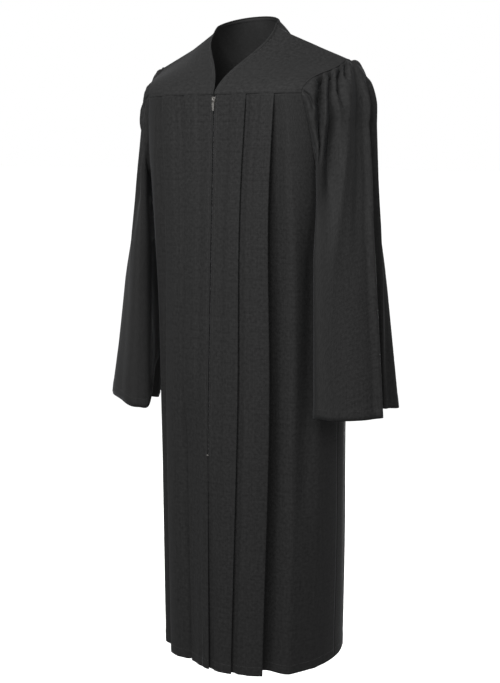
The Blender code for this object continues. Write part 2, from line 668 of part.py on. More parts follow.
def zip_slider(finish):
    """The slider: a plate before the fronts, a post between them, a plate behind the tapes and a bridge."""
    foot = ZIP_TOP - SLIDER_LENGTH
    middle = foot + SLIDER_LENGTH / 2
    face = front_depth(foot) - WALL / 2 - SEAM_GAP
    rear = front_depth(ZIP_TOP) + WALL / 2 + 2 * SEAM_GAP + TAPE_WALL
    front = face - PLATE
    half = SLIDER_WIDTH / 2
    body_plate = block("zip_slider", (-half, front, foot), (half, face, ZIP_TOP), finish)
    post_low = (-POST_WIDTH / 2, face - PLATE / 2, middle - POST_LENGTH / 2)
    post_high = (POST_WIDTH / 2, rear + PLATE / 2, middle + POST_LENGTH / 2)
    joined = [block("slider post", post_low, post_high, finish)]
    joined.append(block("slider back plate", (-half, rear, foot), (half, rear + PLATE, ZIP_TOP), finish))
    crown = front - BRIDGE_CLEAR
    low = middle - BRIDGE_LENGTH / 2
    high = middle + BRIDGE_LENGTH / 2
    heights = (high, high - BRIDGE_BAR, low + BRIDGE_BAR, low)
    depths = (crown - BRIDGE_BAR, crown, front + PLATE / 2)
    arch = np.array([[(0.0, depth, height) for depth in depths] for height in heights])
    joined.append(sheet("slider bridge", arch, finish, wall=BRIDGE_WIDTH, missing={(1, 1)}))
    join(body_plate, joined)
    return middle, front - BRIDGE_CLEAR / 2


def zip_pull_tab(hinge_height, hinge_depth, finish):
    """The pull tab: a plate that hangs from a bar through the bridge, with a window round the bridge."""
    half = PULL_WIDTH / 2
    top = hinge_height + PULL_WALL / 2
    heights = (top, top - PULL_WALL, hinge_height - PULL_WINDOW, hinge_height - PULL_LENGTH)
    across = (-half, PULL_RAIL - half, half - PULL_RAIL, half)
    tab = np.array([[(x, hinge_depth, height) for x in across] for height in heights])
    sheet("zip_pull_tab", tab, finish, wall=PULL_WALL, missing={(1, 1)})


def zip_stop(finish):
    """The bottom stop: a bar before the fronts, clenched through to the end of the chain."""
    top = ZIP_FOOT + STOP_LENGTH + SEAM_GAP
    foot = ZIP_FOOT + SEAM_GAP
    face = front_depth(ZIP_FOOT) - WALL / 2 - SEAM_GAP
    half = STOP_WIDTH / 2
    bar = block("zip_bottom_stop", (-half, face - PLATE, foot), (half, face, top), finish)
    shank_low = (-POST_WIDTH / 2, face - PLATE / 2, foot + PLATE / 4)
    shank_high = (POST_WIDTH / 2, front_depth(ZIP_FOOT) + WALL / 2 + SEAM_GAP + CHAIN_WALL, top - PLATE / 4)
    join(bar, [block("stop shank", shank_low, shank_high, finish)])
    return top


# Scene
for old in list(bpy.data.objects):
    bpy.data.objects.remove(old, do_unlink=True)

robe = bpy.data.collections.new("choir_robe")
bpy.context.scene.collection.children.link(robe)
hanger = bpy.data.objects.new("between_shoulders", None)
hanger.location = (0.0, 0.0, -HOLD_HEIGHT)
robe.objects.link(hanger)

# Yokes
columns = np.array(SHOULDER_COLUMNS)
steps = np.array(YOKE_STEPS)
for side in ("left", "right"):
    grid = front_yoke_grid(side, columns, steps)
    sheet("front_yoke_" + side, grid, material("front yoke " + side + " polyester", ROBE_BLACK, 0.85))
grid = back_yoke_grid(columns, np.array(NECK_COLUMNS), steps)
sheet("back_yoke", grid, material("back yoke polyester", ROBE_BLACK, 0.85))

# Fronts and back
for side in ("left", "right"):
    sheet("front_panel_" + side, front_grid(side), material("front " + side + " polyester", ROBE_BLACK, 0.85))
sheet("back_panel", back_grid(), material("back polyester", ROBE_BLACK, 0.85))

# Sleeves
for side in ("left", "right"):
    grid = sleeve_grid(side, sleeve_columns(), TURN_ROWS, HANG_ROWS)
    finish = material("sleeve " + side + " polyester", ROBE_BLACK, 0.85)
    sheet("sleeve_" + side, grid, finish, closed=True)

# Zip
tape_black = material("zip tape polyester", TAPE_BLACK, 0.80)
chain_black = material("zip chain nylon", TAPE_BLACK, 0.45)
metal = material("zip metal nickel", ZIP_METAL, 0.28, 1.0)
inside = WALL / 2 + SEAM_GAP
for side in ("left", "right"):
    grid = zip_strip((TAPE_EDGE, TAPE_FOLD, TAPE_END), ZIP_TOP, ZIP_FOOT, inside + TAPE_WALL / 2)
    sheet("zip_tape_" + side, mirrored(grid, side), tape_black, wall=TAPE_WALL)
hinge_height, hinge_depth = zip_slider(metal)
zip_pull_tab(hinge_height, hinge_depth, metal)
stop_top = zip_stop(metal)
places = (-CHAIN_HALF_WIDTH, CHAIN_HALF_WIDTH)
chain_top = ZIP_TOP - SLIDER_LENGTH - SEAM_GAP
grid = zip_strip(places, chain_top, stop_top + SEAM_GAP, WALL / 2 + CHAIN_CLEAR + CHAIN_WALL / 2)
sheet("zip_chain", grid, chain_black, wall=CHAIN_WALL)
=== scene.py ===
# %% [markdown]
# # A choir robe in black polyester
# A choir or graduation robe is a loose gown that hangs from the shoulders: two plain yokes in front and one
# behind, pleated panels sewn under them, bell sleeves gathered into the armholes, and a zip down the front.
# This lesson takes its plain solids and dresses them as real cloth. Units are metres. +Z is up, -Y is the
# front and +X is the wearer's left. The origin lies between the wearer's shoulders, 1.25 m above the hem.

import bpy
import numpy as np
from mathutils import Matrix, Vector


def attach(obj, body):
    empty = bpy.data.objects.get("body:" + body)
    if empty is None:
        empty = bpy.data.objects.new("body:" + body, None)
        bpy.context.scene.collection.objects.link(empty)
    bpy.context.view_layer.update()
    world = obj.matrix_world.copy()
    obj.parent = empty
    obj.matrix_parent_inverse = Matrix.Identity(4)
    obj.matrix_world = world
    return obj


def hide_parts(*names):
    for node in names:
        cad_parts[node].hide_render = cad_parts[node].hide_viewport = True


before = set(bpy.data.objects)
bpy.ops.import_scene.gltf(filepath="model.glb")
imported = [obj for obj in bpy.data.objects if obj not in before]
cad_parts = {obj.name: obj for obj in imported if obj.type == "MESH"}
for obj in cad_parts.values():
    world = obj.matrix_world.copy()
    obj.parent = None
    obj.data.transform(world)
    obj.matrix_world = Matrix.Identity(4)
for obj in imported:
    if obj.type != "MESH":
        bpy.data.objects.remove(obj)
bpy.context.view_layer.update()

# %% [markdown]
# ## Camera
# The robe is photographed from its wearer's left front, from a little below the shoulders, with a long lens.
# A perspective camera needs only a place, a heading and a tilt. The lens follows from how large the robe
# stands in the picture, whose long side is 683 pixels.

# %% Camera
PICTURE = (500, 683)
FOCAL_PIXELS = 1155.0
HEADING, TILT = np.radians(31.7), np.radians(9.4)

camera = bpy.data.objects.new("camera", bpy.data.cameras.new("camera"))
camera.data.sensor_width = 36.0
camera.data.lens = FOCAL_PIXELS * camera.data.sensor_width / max(PICTURE)
camera.location = (1.2453, -1.9929, -0.20)
camera.rotation_euler = (np.pi / 2 - TILT, 0.0, HEADING)
bpy.context.scene.collection.objects.link(camera)
bpy.context.scene.camera = camera
print("lens", round(camera.data.lens, 2), "mm")

# %% [markdown]
# ## Curves and tables
# Cloth has no straight lines, but its shape can be told with few numbers: a table of sizes at some heights,
# and a smooth curve through them. `hermite` is a cubic that leaves one value and arrives at the next by set
# slopes. `curve` strings such cubics through a table's values, and the cloth's own threads use them too.

# %% Curves
def hermite(t, start, start_slope, end, end_slope):
    leaving = (1 + 2 * t) * (1 - t) ** 2 * start + t * (1 - t) ** 2 * start_slope
    return leaving + t * t * (3 - 2 * t) * end - t * t * (1 - t) * end_slope


def curve(at, knots, values):
    knots, values = np.asarray(knots, float), np.asarray(values, float)
    slope = np.gradient(values, knots)
    at = np.clip(at, knots[0], knots[-1])
    i = np.clip(np.searchsorted(knots, at) - 1, 0, len(knots) - 2)
    width = knots[i + 1] - knots[i]
    t = (at - knots[i]) / width
    return hermite(t, values[i], width * slope[i], values[i + 1], width * slope[i + 1])


def column(rows, names, name):
    return [row[names.index(name)] for row in rows]


def unit(v):
    v = np.asarray(v, float)
    return v / np.linalg.norm(v, axis=-1, keepdims=True)


def soft(t):
    """0 to 1 with level ends."""
    t = np.clip(t, 0, 1)
    return t * t * (3 - 2 * t)


def hump(at, middle, width):
    return np.exp(-(((at - middle) / width) ** 2))


def so_far(points):
    """How far along a line of points each of them lies."""
    return np.concatenate([[0], np.cumsum(np.linalg.norm(np.diff(points, axis=0), axis=1))])


def read_along(at, run, points):
    """The point or points of a line at some places along its run."""
    return np.stack([np.interp(at, run, way) for way in points.T], -1)


def both_sides(left):
    """A line from the middle out to the left, with its mirror image before it."""
    return np.concatenate([left[:0:-1] * (-1, 1, 1), left])


print("halfway from 0 to 1:", curve(0.5, (0, 1), (0, 1)), soft(0.5))

# %% [markdown]
# ## The body's form
# Seen from above, a worn robe is a rounded box: nearly flat in front and behind and full at the sides.
# A superellipse with a squareness of 2 is an ellipse, and a larger one is boxier. Everything on the body is
# then placed by two lengths: how far round the cloth it lies, and how far it stands off the form.

# %% The body's form
HOLD_HEIGHT = 1.250
YOKE_HEIGHT, BACK_YOKE_HEIGHT, UNDERARM_HEIGHT = 1.155, 1.135, 0.960
SEAM_GAP = 0.0003
BODY_COLUMNS = ("height", "half_width", "middle", "front", "back", "squareness")
BODY_ROWS = (
    (0.000, 0.1935, 0.043, -0.141, 0.208, 2.10),
    (0.250, 0.1975, 0.042, -0.139, 0.205, 2.10),
    (0.500, 0.199, 0.037, -0.134, 0.195, 2.15),
    (0.800, 0.202, 0.033, -0.123, 0.175, 2.40),
    (0.960, 0.204, 0.028, -0.116, 0.160, 2.80),
    (1.050, 0.206, 0.024, -0.112, 0.150, 3.10),
    (1.155, 0.206, 0.020, -0.107, 0.140, 3.40),
)


def body(name, height):
    return curve(height, column(BODY_ROWS, BODY_COLUMNS, "height"), column(BODY_ROWS, BODY_COLUMNS, name))


def ring(height):
    """Half the section at a height, from centre front round the left to centre back, and how far it runs."""
    middle = body("middle", height)
    turn = np.linspace(0, np.pi, 481)
    power = 2 / body("squareness", height)
    across = body("half_width", height) * np.sin(turn) ** power
    reach = np.where(turn < np.pi / 2, middle - body("front", height), body("back", height) - middle)
    along = middle - reach * np.sign(np.cos(turn)) * np.abs(np.cos(turn)) ** power
    points = np.stack([across, along], 1)
    return points, so_far(points)


def on_ring(height, places, out):
    points, run = ring(height)
    places = np.asarray(places, float)
    way = unit(np.gradient(points, run, axis=0))
    at = np.abs(places)
    x = np.interp(at, run, points[:, 0]) + out * np.interp(at, run, way[:, 1])
    y = np.interp(at, run, points[:, 1]) - out * np.interp(at, run, way[:, 0])
    return np.stack([np.where(places < 0, -x, x), y, np.full_like(x, height)], 1)


print("half way round the hem:", round(ring(0.0)[1][-1], 3), "m")

# %% [markdown]
# ## Armholes
# The sleeves are sewn in along a curve that is cut out of the panels' sides. A table tells how far in the
# front's and the back's edges lie at each height, and below the underarm the two meet in the side seam.

# %% Armholes
ARMHOLE_COLUMNS = ("height", "front_edge", "back_edge")
ARMHOLE_ROWS = (
    (0.960, 0.0280, 0.028), (0.966, 0.0020, 0.052), (0.985, -0.0300, 0.074),
    (1.013, -0.0520, 0.090), (1.070, -0.0640, 0.101), (1.155, -0.0790, 0.112),
)


def length_to(height, y, behind):
    points, run = ring(height)
    turning = int(np.argmax(points[:, 0]))
    part = slice(turning, None) if behind else slice(0, turning + 1)
    return float(np.interp(y, points[part, 1], run[part]))


def armhole_place(height, behind):
    if height <= UNDERARM_HEIGHT:
        return length_to(height, body("middle", height), behind)
    heights = column(ARMHOLE_ROWS, ARMHOLE_COLUMNS, "height")
    edge = column(ARMHOLE_ROWS, ARMHOLE_COLUMNS, "back_edge" if behind else "front_edge")
    return length_to(height, np.interp(height, heights, edge), behind)


print("front edge of the armhole at 1.07 m:", round(armhole_place(1.070, behind=False), 3), "m round")

# %% [markdown]
# ## Colours and nodes
# Colours are written as the hex values that a screen shows, and turned to the linear light that Blender
# reckons with by one function. Nodes are all added by one small function that takes the node's settings and
# its links, so each material below reads as a list. Every finish ends alike, in two tones of its colour, a
# roughness that varies between two values and perhaps a bump, so one more function adds those.

# %% Helpers for materials
def linear(hex_colour):
    values = np.array([int(hex_colour[k:k + 2], 16) for k in (1, 3, 5)]) / 255
    values = np.where(values <= 0.04045, values / 12.92, ((values + 0.055) / 1.055) ** 2.4)
    return (*values.tolist(), 1.0)


def add_node(tree, kind, settings=(), **inputs):
    """One node. Inputs are values or (node, output) pairs to link from, by socket name or in_0, in_1."""
    node = tree.nodes.new(kind)
    for name, value in dict(settings).items():
        setattr(node, name, value)
    for name, value in inputs.items():
        socket = node.inputs[int(name[3:]) if name.startswith("in_") else name.replace("_", " ")]
        if isinstance(value, tuple) and hasattr(value[0], "outputs"):
            tree.links.new(value[0].outputs[value[1]], socket)
        else:
            socket.default_value = value
    return node


def new_material(name, **sockets):
    """A material with its Principled shader's own sockets set."""
    made = bpy.data.materials.new(name)
    made.use_nodes = True
    shader = made.node_tree.nodes["Principled BSDF"]
    for socket, value in sockets.items():
        shader.inputs[socket.replace("_", " ")].default_value = value
    return made, made.node_tree, shader


def add_math(tree, operation, *values):
    """An arithmetic node, as the (node, output) pair of its result."""
    inputs = {"in_" + str(k): value for k, value in enumerate(values)}
    return add_node(tree, "ShaderNodeMath", {"operation": operation}, **inputs), 0


def add_noise(tree, place, scale, detail, roughness=0.5):
    return add_node(
        tree, "ShaderNodeTexNoise", Vector=place, Scale=scale, Detail=detail, Roughness=roughness), 0


def add_surface(tree, shader, blend, tones, grade, rough, graded_over=(0.3, 0.7), bump=None):
    """Tones mixed by blend, a roughness that follows grade, and a bump as (height, strength, distance)."""
    deep, worn = (linear(tone) for tone in tones)
    colour = add_node(tree, "ShaderNodeMix", {"data_type": "RGBA"}, Factor=blend, in_6=deep, in_7=worn)
    graded = add_node(tree, "ShaderNodeMapRange", Value=grade, From_Min=graded_over[0],
                      From_Max=graded_over[1], To_Min=rough[0], To_Max=rough[1])
    tree.links.new(colour.outputs[2], shader.inputs["Base Color"])
    tree.links.new(graded.outputs[0], shader.inputs["Roughness"])
    if bump:
        height, strength, distance = bump
        relief = add_node(tree, "ShaderNodeBump", Height=height, Strength=strength, Distance=distance)
        tree.links.new(relief.outputs[0], shader.inputs["Normal"])


print("screen grey #808080 is", round(linear("#808080")[0], 3), "in linear light")

# %% [markdown]
# ## Black woven polyester
# Robe cloth is a plain weave of spun-look polyester yarn, dyed black and heat set. The yarns are matte, with
# a faint sheen where the cloth turns away, because fine fibre ends catch light along the edge. So the finish
# is a dark base, a high roughness, a little sheen, and a bump of yarns going over and under each other.
# The real yarns lie 0.35 mm apart. That is finer than a pixel, so they are drawn 1.1 mm apart. Yarns
# also vary in thickness along their length: a noise stretched along each way of the weave gives that.
# Thin cloth lets a little light through, so its inside is never as dark as that of a thick wall. That light
# is
# painted on: the reverse face has a paler tone and a faint glow of its own, which lift the shade inside the
# robe.

# %% Woven polyester
YARN = 0.0011  # metres from one yarn to the next, drawn three times as coarse as the real 0.35 mm


# painted_glow is painted light: an emission standing in for the light that comes through the cloth
def woven_polyester(name, tones, yarn=YARN, lift=0.00012, painted_glow=0.0):
    made, tree, shader = new_material(
        name, IOR=1.54, Specular_IOR_Level=0.045, Sheen_Weight=0.05, Sheen_Roughness=0.35,
        Sheen_Tint=linear("#8d8f93"), Emission_Color=linear("#ffffff"), Emission_Strength=painted_glow)
    place = add_node(tree, "ShaderNodeTexCoord"), "UV"
    split = add_node(tree, "ShaderNodeSeparateXYZ", Vector=place)
    turns = 2 * np.pi / (2 * yarn)
    weave = add_math(tree, "MULTIPLY", *(
        add_math(tree, "SINE", add_math(tree, "MULTIPLY", (split, way), turns)) for way in ("X", "Y")))
    stretched = [add_node(tree, "ShaderNodeMapping", Vector=place, Scale=scale)
                 for scale in ((1.0 / yarn, 12.0, 1.0), (12.0, 1.0 / yarn, 1.0))]
    slubs = add_math(tree, "ADD", *(add_noise(tree, (way, 0), scale=0.7, detail=2.0) for way in stretched))
    height = add_math(tree, "MULTIPLY_ADD", weave, 0.5, slubs)
    cloud = add_noise(tree, place, scale=170.0, detail=2.0, roughness=0.6)
    mottle = add_math(tree, "MULTIPLY_ADD", slubs, 0.35, cloud)
    tone = add_node(tree, "ShaderNodeMapRange", Value=mottle, From_Min=0.55, From_Max=1.15)
    add_surface(tree, shader, (tone, 0), tones, height, (0.84, 0.70), (0.4, 1.6), (height, 0.6, lift))
    return made


# Painted light: the yokes and sleeves are one cloth with the fronts and back, painted a little lighter as a
# lit copy, and the panels a shaded copy
painted_lit_tones, painted_shaded_tones = ("#070707", "#121212"), ("#060606", "#111111")
yoke_cloth = woven_polyester("woven_polyester_black_yoke", painted_lit_tones)
front_cloth = woven_polyester("woven_polyester_black_front", painted_shaded_tones)
back_cloth = woven_polyester("woven_polyester_black_back", painted_shaded_tones)
sleeve_cloth = woven_polyester("woven_polyester_black_sleeve", painted_lit_tones)
# The reverse face: a paler tone and a faint glow, painted light that lifts the shade inside the robe
reverse_cloth_painted_paler = woven_polyester("woven_polyester_black_reverse_painted_glow", ("#0e0e0e", "#141414"), painted_glow=0.0030)
print("yarns per 10 mm as drawn:", round(0.010 / YARN, 1))

# %% [markdown]
# ## A sheet of cloth
# Real robe cloth is 0.3 mm thick. A surface with no thickness lets light through its back and looks like
# paper, so each piece is a grid of points that Solidify gives two faces and a rim. A hem or neckline is cloth
# folded over twice, so there the wall is thicker: a vertex group tells Solidify how much. The UV map holds
# real metres across and down the cloth, so that the weave comes out the same size on every piece.

# %% Cloth from a grid
CLOTH = 0.0008  # drawn thicker than the real 0.3 mm, so that an edge catches light
HEM_CLOTH = 0.0018  # where it is folded over
HEM_FOLD, NECK_FOLD, EDGE_FOLD = 0.024, 0.0075, 0.004  # how far in from each edge the cloth is folded over
HEM_FADE, NECK_FADE = 0.004, 0.0015  # the length over which that thickness comes on
BODY_AXIS, SLEEVE_AXIS = (0.0, 0.03), {"left": (0.25, 0.03), "right": (-0.25, 0.03)}


def lengths(grid, axis):
    step = np.linalg.norm(np.diff(grid, axis=axis), axis=2)
    zero = np.zeros_like(np.take(step, [0], axis=axis))
    return np.concatenate([zero, np.cumsum(step, axis=axis)], axis=axis)


def add_mesh(name, points, faces, finish, body_name="robe"):
    mesh = bpy.data.meshes.new(name)
    mesh.from_pydata(np.asarray(points, float).tolist(), [], [list(map(int, f)) for f in faces])
    mesh.shade_smooth()
    made = bpy.data.objects.new(name, mesh)
    bpy.context.scene.collection.objects.link(made)
    mesh.materials.append(finish)
    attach(made, body_name)
    return made


def grid_faces(rows, columns, closed):
    r, c = np.meshgrid(np.arange(rows - 1), np.arange(columns if closed else columns - 1), indexing="ij")
    d = (c + 1) % columns
    corners = (r * columns + c, r * columns + d, (r + 1) * columns + d, (r + 1) * columns + c)
    return np.stack([corner.ravel() for corner in corners], 1)


def faces_out(points, faces, axis):
    """Whether most of the cloth faces away from the upright axis that it hangs round."""
    a, b, c, d = (points[faces[:, k]] for k in range(4))
    away = ((a + c) / 2 - (*axis, 0.0)) * (1, 1, 0)
    return np.sum(np.cross(c - a, d - b) * away) > 0


def cloth(name, grid, finish, across, down, closed=False, thick=None, wall=CLOTH, axis=BODY_AXIS):
    """A sheet over grid[row, column] with its UV in metres, across and down, and thick from 0 to 1."""
    rows, columns = grid.shape[:2]
    faces = grid_faces(rows, columns, closed)
    points = grid.reshape(-1, 3) - (0.0, 0.0, HOLD_HEIGHT)
    if not faces_out(points, faces, axis):
        faces = faces[:, ::-1]
    made = add_mesh(name, points, faces, finish)
    uv = np.stack([across, down], 2).reshape(-1, 2)[faces].reshape(-1, 2)
    if closed:
        last = np.arange(len(faces)).reshape(rows - 1, columns)[:, -1]
        loops = np.concatenate([4 * last + 1, 4 * last + 2])
        uv[loops, 0] += across[0, -1] + across[0, 1] - across[0, 0]
    made.data.uv_layers.new(name="cloth").data.foreach_set("uv", uv.ravel().astype(np.float32))
    solid = made.modifiers.new("two faces", "SOLIDIFY")
    solid.thickness = HEM_CLOTH if thick is not None else wall
    solid.offset = 0.0
    # The inner faces take the reverse cloth, whose paler tone and glow are painted light
    made.data.materials.append(reverse_cloth_painted_paler)
    solid.material_offset = 1
    if thick is not None:
        group = made.vertex_groups.new(name="folded over")
        for k, value in enumerate(np.clip(thick, 0, 1).ravel()):
            group.add([k], float(value), "REPLACE")
        solid.vertex_group = group.name
        solid.thickness_vertex_group = wall / HEM_CLOTH
    print(name, rows, "x", columns, "points")
    return made

# %% [markdown]
# ## Knife pleats
# A knife pleat is a fold pressed flat to one side: the cloth runs to the folded edge, turns under, runs back
# by its lap, turns again and goes on. Pressing makes the edge crisp, but it is still a small round turn and
# not a corner, which is what gives it its thin line of light. Each pleat is told as (place, out) pairs.

# %% Knife pleats
LAYER, RISE, RISE_FLAT = 0.0024, 0.014, 0.001
PLEAT_HEIGHTS = (0.000, 0.550, 0.960, 1.155)
FRONT_PLEATS = (
    {"edge": (0.053, 0.064, 0.063, 0.071), "lap": (0.024, 0.024, 0.022, 0.022),
     "set_back": (0.0060, 0.0045, 0.0030, 0.0024), "ease": (0.017, 0.016, 0.017, 0.018)},
    {"edge": (0.117, 0.127, 0.121, 0.129), "lap": (0.026, 0.026, 0.024, 0.020),
     "set_back": (0.0260, 0.0300, 0.0190, 0.0024), "ease": (0.058, 0.056, 0.048, 0.022)},
)
BACK_PLEATS = (
    {"edge": (0.056, 0.050, 0.046, 0.044), "lap": (0.028, 0.026, 0.024, 0.022),
     "set_back": (0.0120, 0.0090, 0.0050, 0.0024), "ease": (0.040, 0.032, 0.024, 0.018)},
    {"edge": (0.150, 0.138, 0.122, 0.108), "lap": (0.030, 0.028, 0.024, 0.020),
     "set_back": (0.0160, 0.0130, 0.0080, 0.0024), "ease": (0.060, 0.050, 0.035, 0.022)},
)


def straight(start, end, count):
    """Points from start towards end, without the end itself."""
    return [tuple(np.add(start, np.subtract(end, start) * k / count)) for k in range(count)]


def turned(place, top, side):
    """A pressed edge at a place, round from its upper layer to its lower one. It faces the way of side."""
    half = LAYER / 2
    turn = np.linspace(0, np.pi, 7)
    return [(place - side * half * (1 - np.sin(a)), top - half + half * np.cos(a)) for a in turn]


def pleat(shape, height):
    names = ("edge", "lap", "set_back", "ease")
    edge, lap, back, ease = (curve(height, PLEAT_HEIGHTS, shape[name]) for name in names)
    half = LAYER / 2
    rise = RISE - RISE_FLAT
    pairs = [(edge - lap - RISE + rise * t, LAYER * soft(t)) for t in np.linspace(0, 1, 8)[:-1]]
    pairs += straight((edge - lap - RISE_FLAT, LAYER), (edge - half, LAYER), 6)
    pairs += turned(edge, LAYER, 1)
    pairs += straight((edge - half, 0.0), (edge - lap + half, LAYER - back), 5)[1:]
    pairs += turned(edge - lap, LAYER - back, -1)
    pairs += straight((edge - lap + half, -back), (edge + 0.002, -back), 5)[1:]
    for t in np.linspace(0, 1, 13):
        pairs.append((edge + 0.002 + (ease - 0.002) * t, -back * (1 - soft((t - 0.1) / 0.9))))
    return pairs


print("points across one pleat:", len(pleat(FRONT_PLEATS[0], 0.5)))

# %% [markdown]
# ## Swells
# Between its pleats the cloth is never quite flat: long, weak swells run down it, and they give the soft
# bands of light that plain black cloth shows. They are listed in a short table.

# %% Swells
SWELL_FADE = 0.18
# Each swell: its place at the top and at the hem, its width, how far out it stands, and its two heights
FRONT_SWELLS = {
    "left": (
        (0.013, 0.011, 0.008, 0.0011, 1.10, 0.10),
        (0.040, 0.030, 0.012, 0.0008, 1.05, 0.30),
        (0.094, 0.078, 0.014, -0.0007, 1.10, 0.40),
        (0.158, 0.168, 0.020, 0.0034, 1.05, 0.00),
        (0.212, 0.200, 0.022, -0.0080, 0.98, 0.25),
        (0.238, 0.232, 0.010, 0.0014, 0.85, 0.00),
    ),
    "right": (
        (0.014, 0.010, 0.009, 0.0012, 1.12, 0.20),
        (0.030, 0.026, 0.008, -0.0008, 1.00, 0.10),
        (0.098, 0.082, 0.012, 0.0008, 1.00, 0.30),
        (0.060, 0.050, 0.030, -0.0130, 0.62, 0.00),
        (0.165, 0.150, 0.016, 0.0022, 1.00, 0.10),
        (0.200, 0.196, 0.014, -0.0018, 0.90, 0.10),
    ),
}


def swells(table, places, height):
    """How far the weak swells of a table move the cloth out."""
    total = np.zeros(len(places))
    for top, hem, width, out, start, end in table:
        middle = hem + (top - hem) * height / YOKE_HEIGHT
        fade = soft((start - height) / SWELL_FADE) * soft((height - end) / SWELL_FADE + (end <= 0))
        total += out * fade * hump(places, middle, width)
    return total


print("swells on each front:", len(FRONT_SWELLS["left"]))

# %% [markdown]
# ## A pleated panel
# Each panel is one length of cloth from the yoke seam to the hem. Its pleats start at the yoke and open a
# little as they fall. It is built row by row: the same section, of edge, pleats and side seam, is worked out
# at each height and laid round the body's form. Where two pieces are sewn together the cloth dips into the
# seam, and a narrow allowance turns in behind it. At the edges and the hem the cloth is folded over.

# %% A pleated panel
# The side seam's allowance, as (on round the body, in): wide below the underarm, and steep at the armhole
TUCK_START, TUCK_BELOW, TUCK_ARMHOLE = (0.0004, 0.0012), (0.008, 0.0016), (0.0006, 0.005)
TO_BACK, TO_FRONT = np.array([0.0, 1.0, 0.0]), np.array([0.0, -1.0, 0.0])


def pleated(pairs, start, shapes, height, counts, behind):
    """Goes on from a start through two pleats to the side seam, in as many steps as counts says."""
    first, second = (pleat(shape, height) for shape in shapes)
    seam = armhole_place(height, behind)
    gap = SEAM_GAP / 2 if height <= UNDERARM_HEIGHT else 0.0
    outer = ((ring(height)[1][-1] - seam if behind else seam) - gap, 0.0)
    pairs = pairs + straight(start, first[0], counts[0]) + first
    pairs += straight(first[-1], second[0], counts[1])[1:] + second
    pairs += straight(second[-1], outer, counts[2])[1:] + [outer]
    return np.array(pairs).T


def turn_in(grid, inward, depth=0.006):
    """Adds the seam allowance above a panel's first row: cloth turned in by the given way and depth."""
    first = grid[0] + inward * depth * 0.12 + np.array([0.0, 0.0, 0.0001])
    second = grid[0] + inward * depth
    return np.concatenate([[second, first], grid])


def under_seam(distance):
    """Next to its seam a panel's cloth goes under the yoke's, so that no gap shows between them."""
    return -0.0006 * soft(1 - distance / 0.0012)


def pressed(distance):
    """Next to the seam a pleat's layers are sewn down flat on each other."""
    return 0.45 + 0.55 * soft(distance / 0.030)


def level_form(height, seam_height):
    return seam_height if height > seam_height - 0.006 else height


def panel_heights(seam_height, second, count):
    """The heights of a panel's rows, which lie close together at the seam and at the hem."""
    top = seam_height - np.array([0.0, 0.0007, 0.0015, 0.0025, 0.004, 0.007, 0.012, 0.020])
    middle = np.linspace(second, UNDERARM_HEIGHT, count)
    return np.concatenate([top, middle, np.linspace(0.945, 0.006, 84), [0.003, 0.0]])


def seam_dip(distance, depth=0.0003, reach=0.0016):
    """How far the cloth dips at a distance from a seam."""
    return -depth * np.exp(-((distance / reach) ** 2))


def panel_grid(heights, seam_height, section, inward, behind=False):
    """A panel from its section at each height, and how far it is folded over at each point."""
    rows, folds = [], []
    for height in heights:
        form, below = level_form(height, seam_height), seam_height - height
        places, out = section(form)
        out = out * pressed(below) + (seam_dip(below) + under_seam(below))
        row = on_ring(form, ring(form)[1][-1] - places if behind else places, out)
        row[:, 2] = height
        fold = np.full(len(places), soft((HEM_FOLD - height) / HEM_FADE))
        if behind:
            row, fold = both_sides(row), np.concatenate([fold[1:], fold])
        else:
            fold = np.maximum(fold, hump(places, places[0], EDGE_FOLD))
        rows.append(row)
        folds.append(fold)
    return turn_in(np.array(rows), inward), np.array([folds[0] * 0, folds[0] * 0] + folds)


def cloth_uv(grid):
    """Across and down in metres, from the cloth's own lengths on its middle row and its longest column."""
    middle = lengths(grid, 1)[len(grid) // 2]
    down = lengths(grid, 0)[:, grid.shape[1] // 2]
    return np.repeat(middle[None], len(grid), 0), np.repeat(-down[:, None], grid.shape[1], 1)


FRONT_HEIGHTS = panel_heights(YOKE_HEIGHT, 1.125, 24)
BACK_HEIGHTS = panel_heights(BACK_YOKE_HEIGHT, 1.105, 21)
print("rows in a front and in the back:", len(FRONT_HEIGHTS), len(BACK_HEIGHTS))

# %% [markdown]
# ## The two fronts
# The fronts meet at the zip. Below its foot they part a little, and the wearer's right one comes to lie over
# the left one, because nothing holds them together there.

# %% Fronts
PARTING = 0.6
PARTED = {"left": (-0.006, -0.0065), "right": (-0.003, 0.0020)}
FRONT_EDGE, TAPE_FOLD, TAPE_END = 0.0012, 0.0050, 0.0155
ZIP_TOP, ZIP_FOOT = 1.151, 0.449


def front_section(height, side):
    parted = np.clip((ZIP_FOOT - height) / ZIP_FOOT, 0, 1) ** PARTING
    place, out = PARTED[side]
    edge = (FRONT_EDGE + parted * (place - FRONT_EDGE), parted * out)
    fold, end = (TAPE_FOLD, parted * out * 0.8), (TAPE_END, parted * out * 0.3)
    pairs = straight(edge, fold, 6) + straight(fold, end, 5)
    places, outs = pleated(pairs, end, FRONT_PLEATS, height, (8, 8, 30), behind=False)
    outs = outs + swells(FRONT_SWELLS[side], places, height)
    tuck = np.array([TUCK_START, TUCK_BELOW if height <= UNDERARM_HEIGHT else TUCK_ARMHOLE])
    return np.append(places, places[-1] + tuck[:, 0]), np.append(outs, outs[-1] - tuck[:, 1])


fronts = {}
for side in ("left", "right"):
    grid, over = panel_grid(FRONT_HEIGHTS, YOKE_HEIGHT, lambda height: front_section(height, side), TO_BACK)
    grid = grid if side == "left" else grid * (-1, 1, 1)
    piece = cloth("front_" + side, grid, front_cloth, *cloth_uv(grid), thick=over)
    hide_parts("front_panel_" + side)
    fronts[side] = (piece, grid)
    print("cloth across the hem:", round(lengths(grid, 1)[-1, -1], 3), "m")

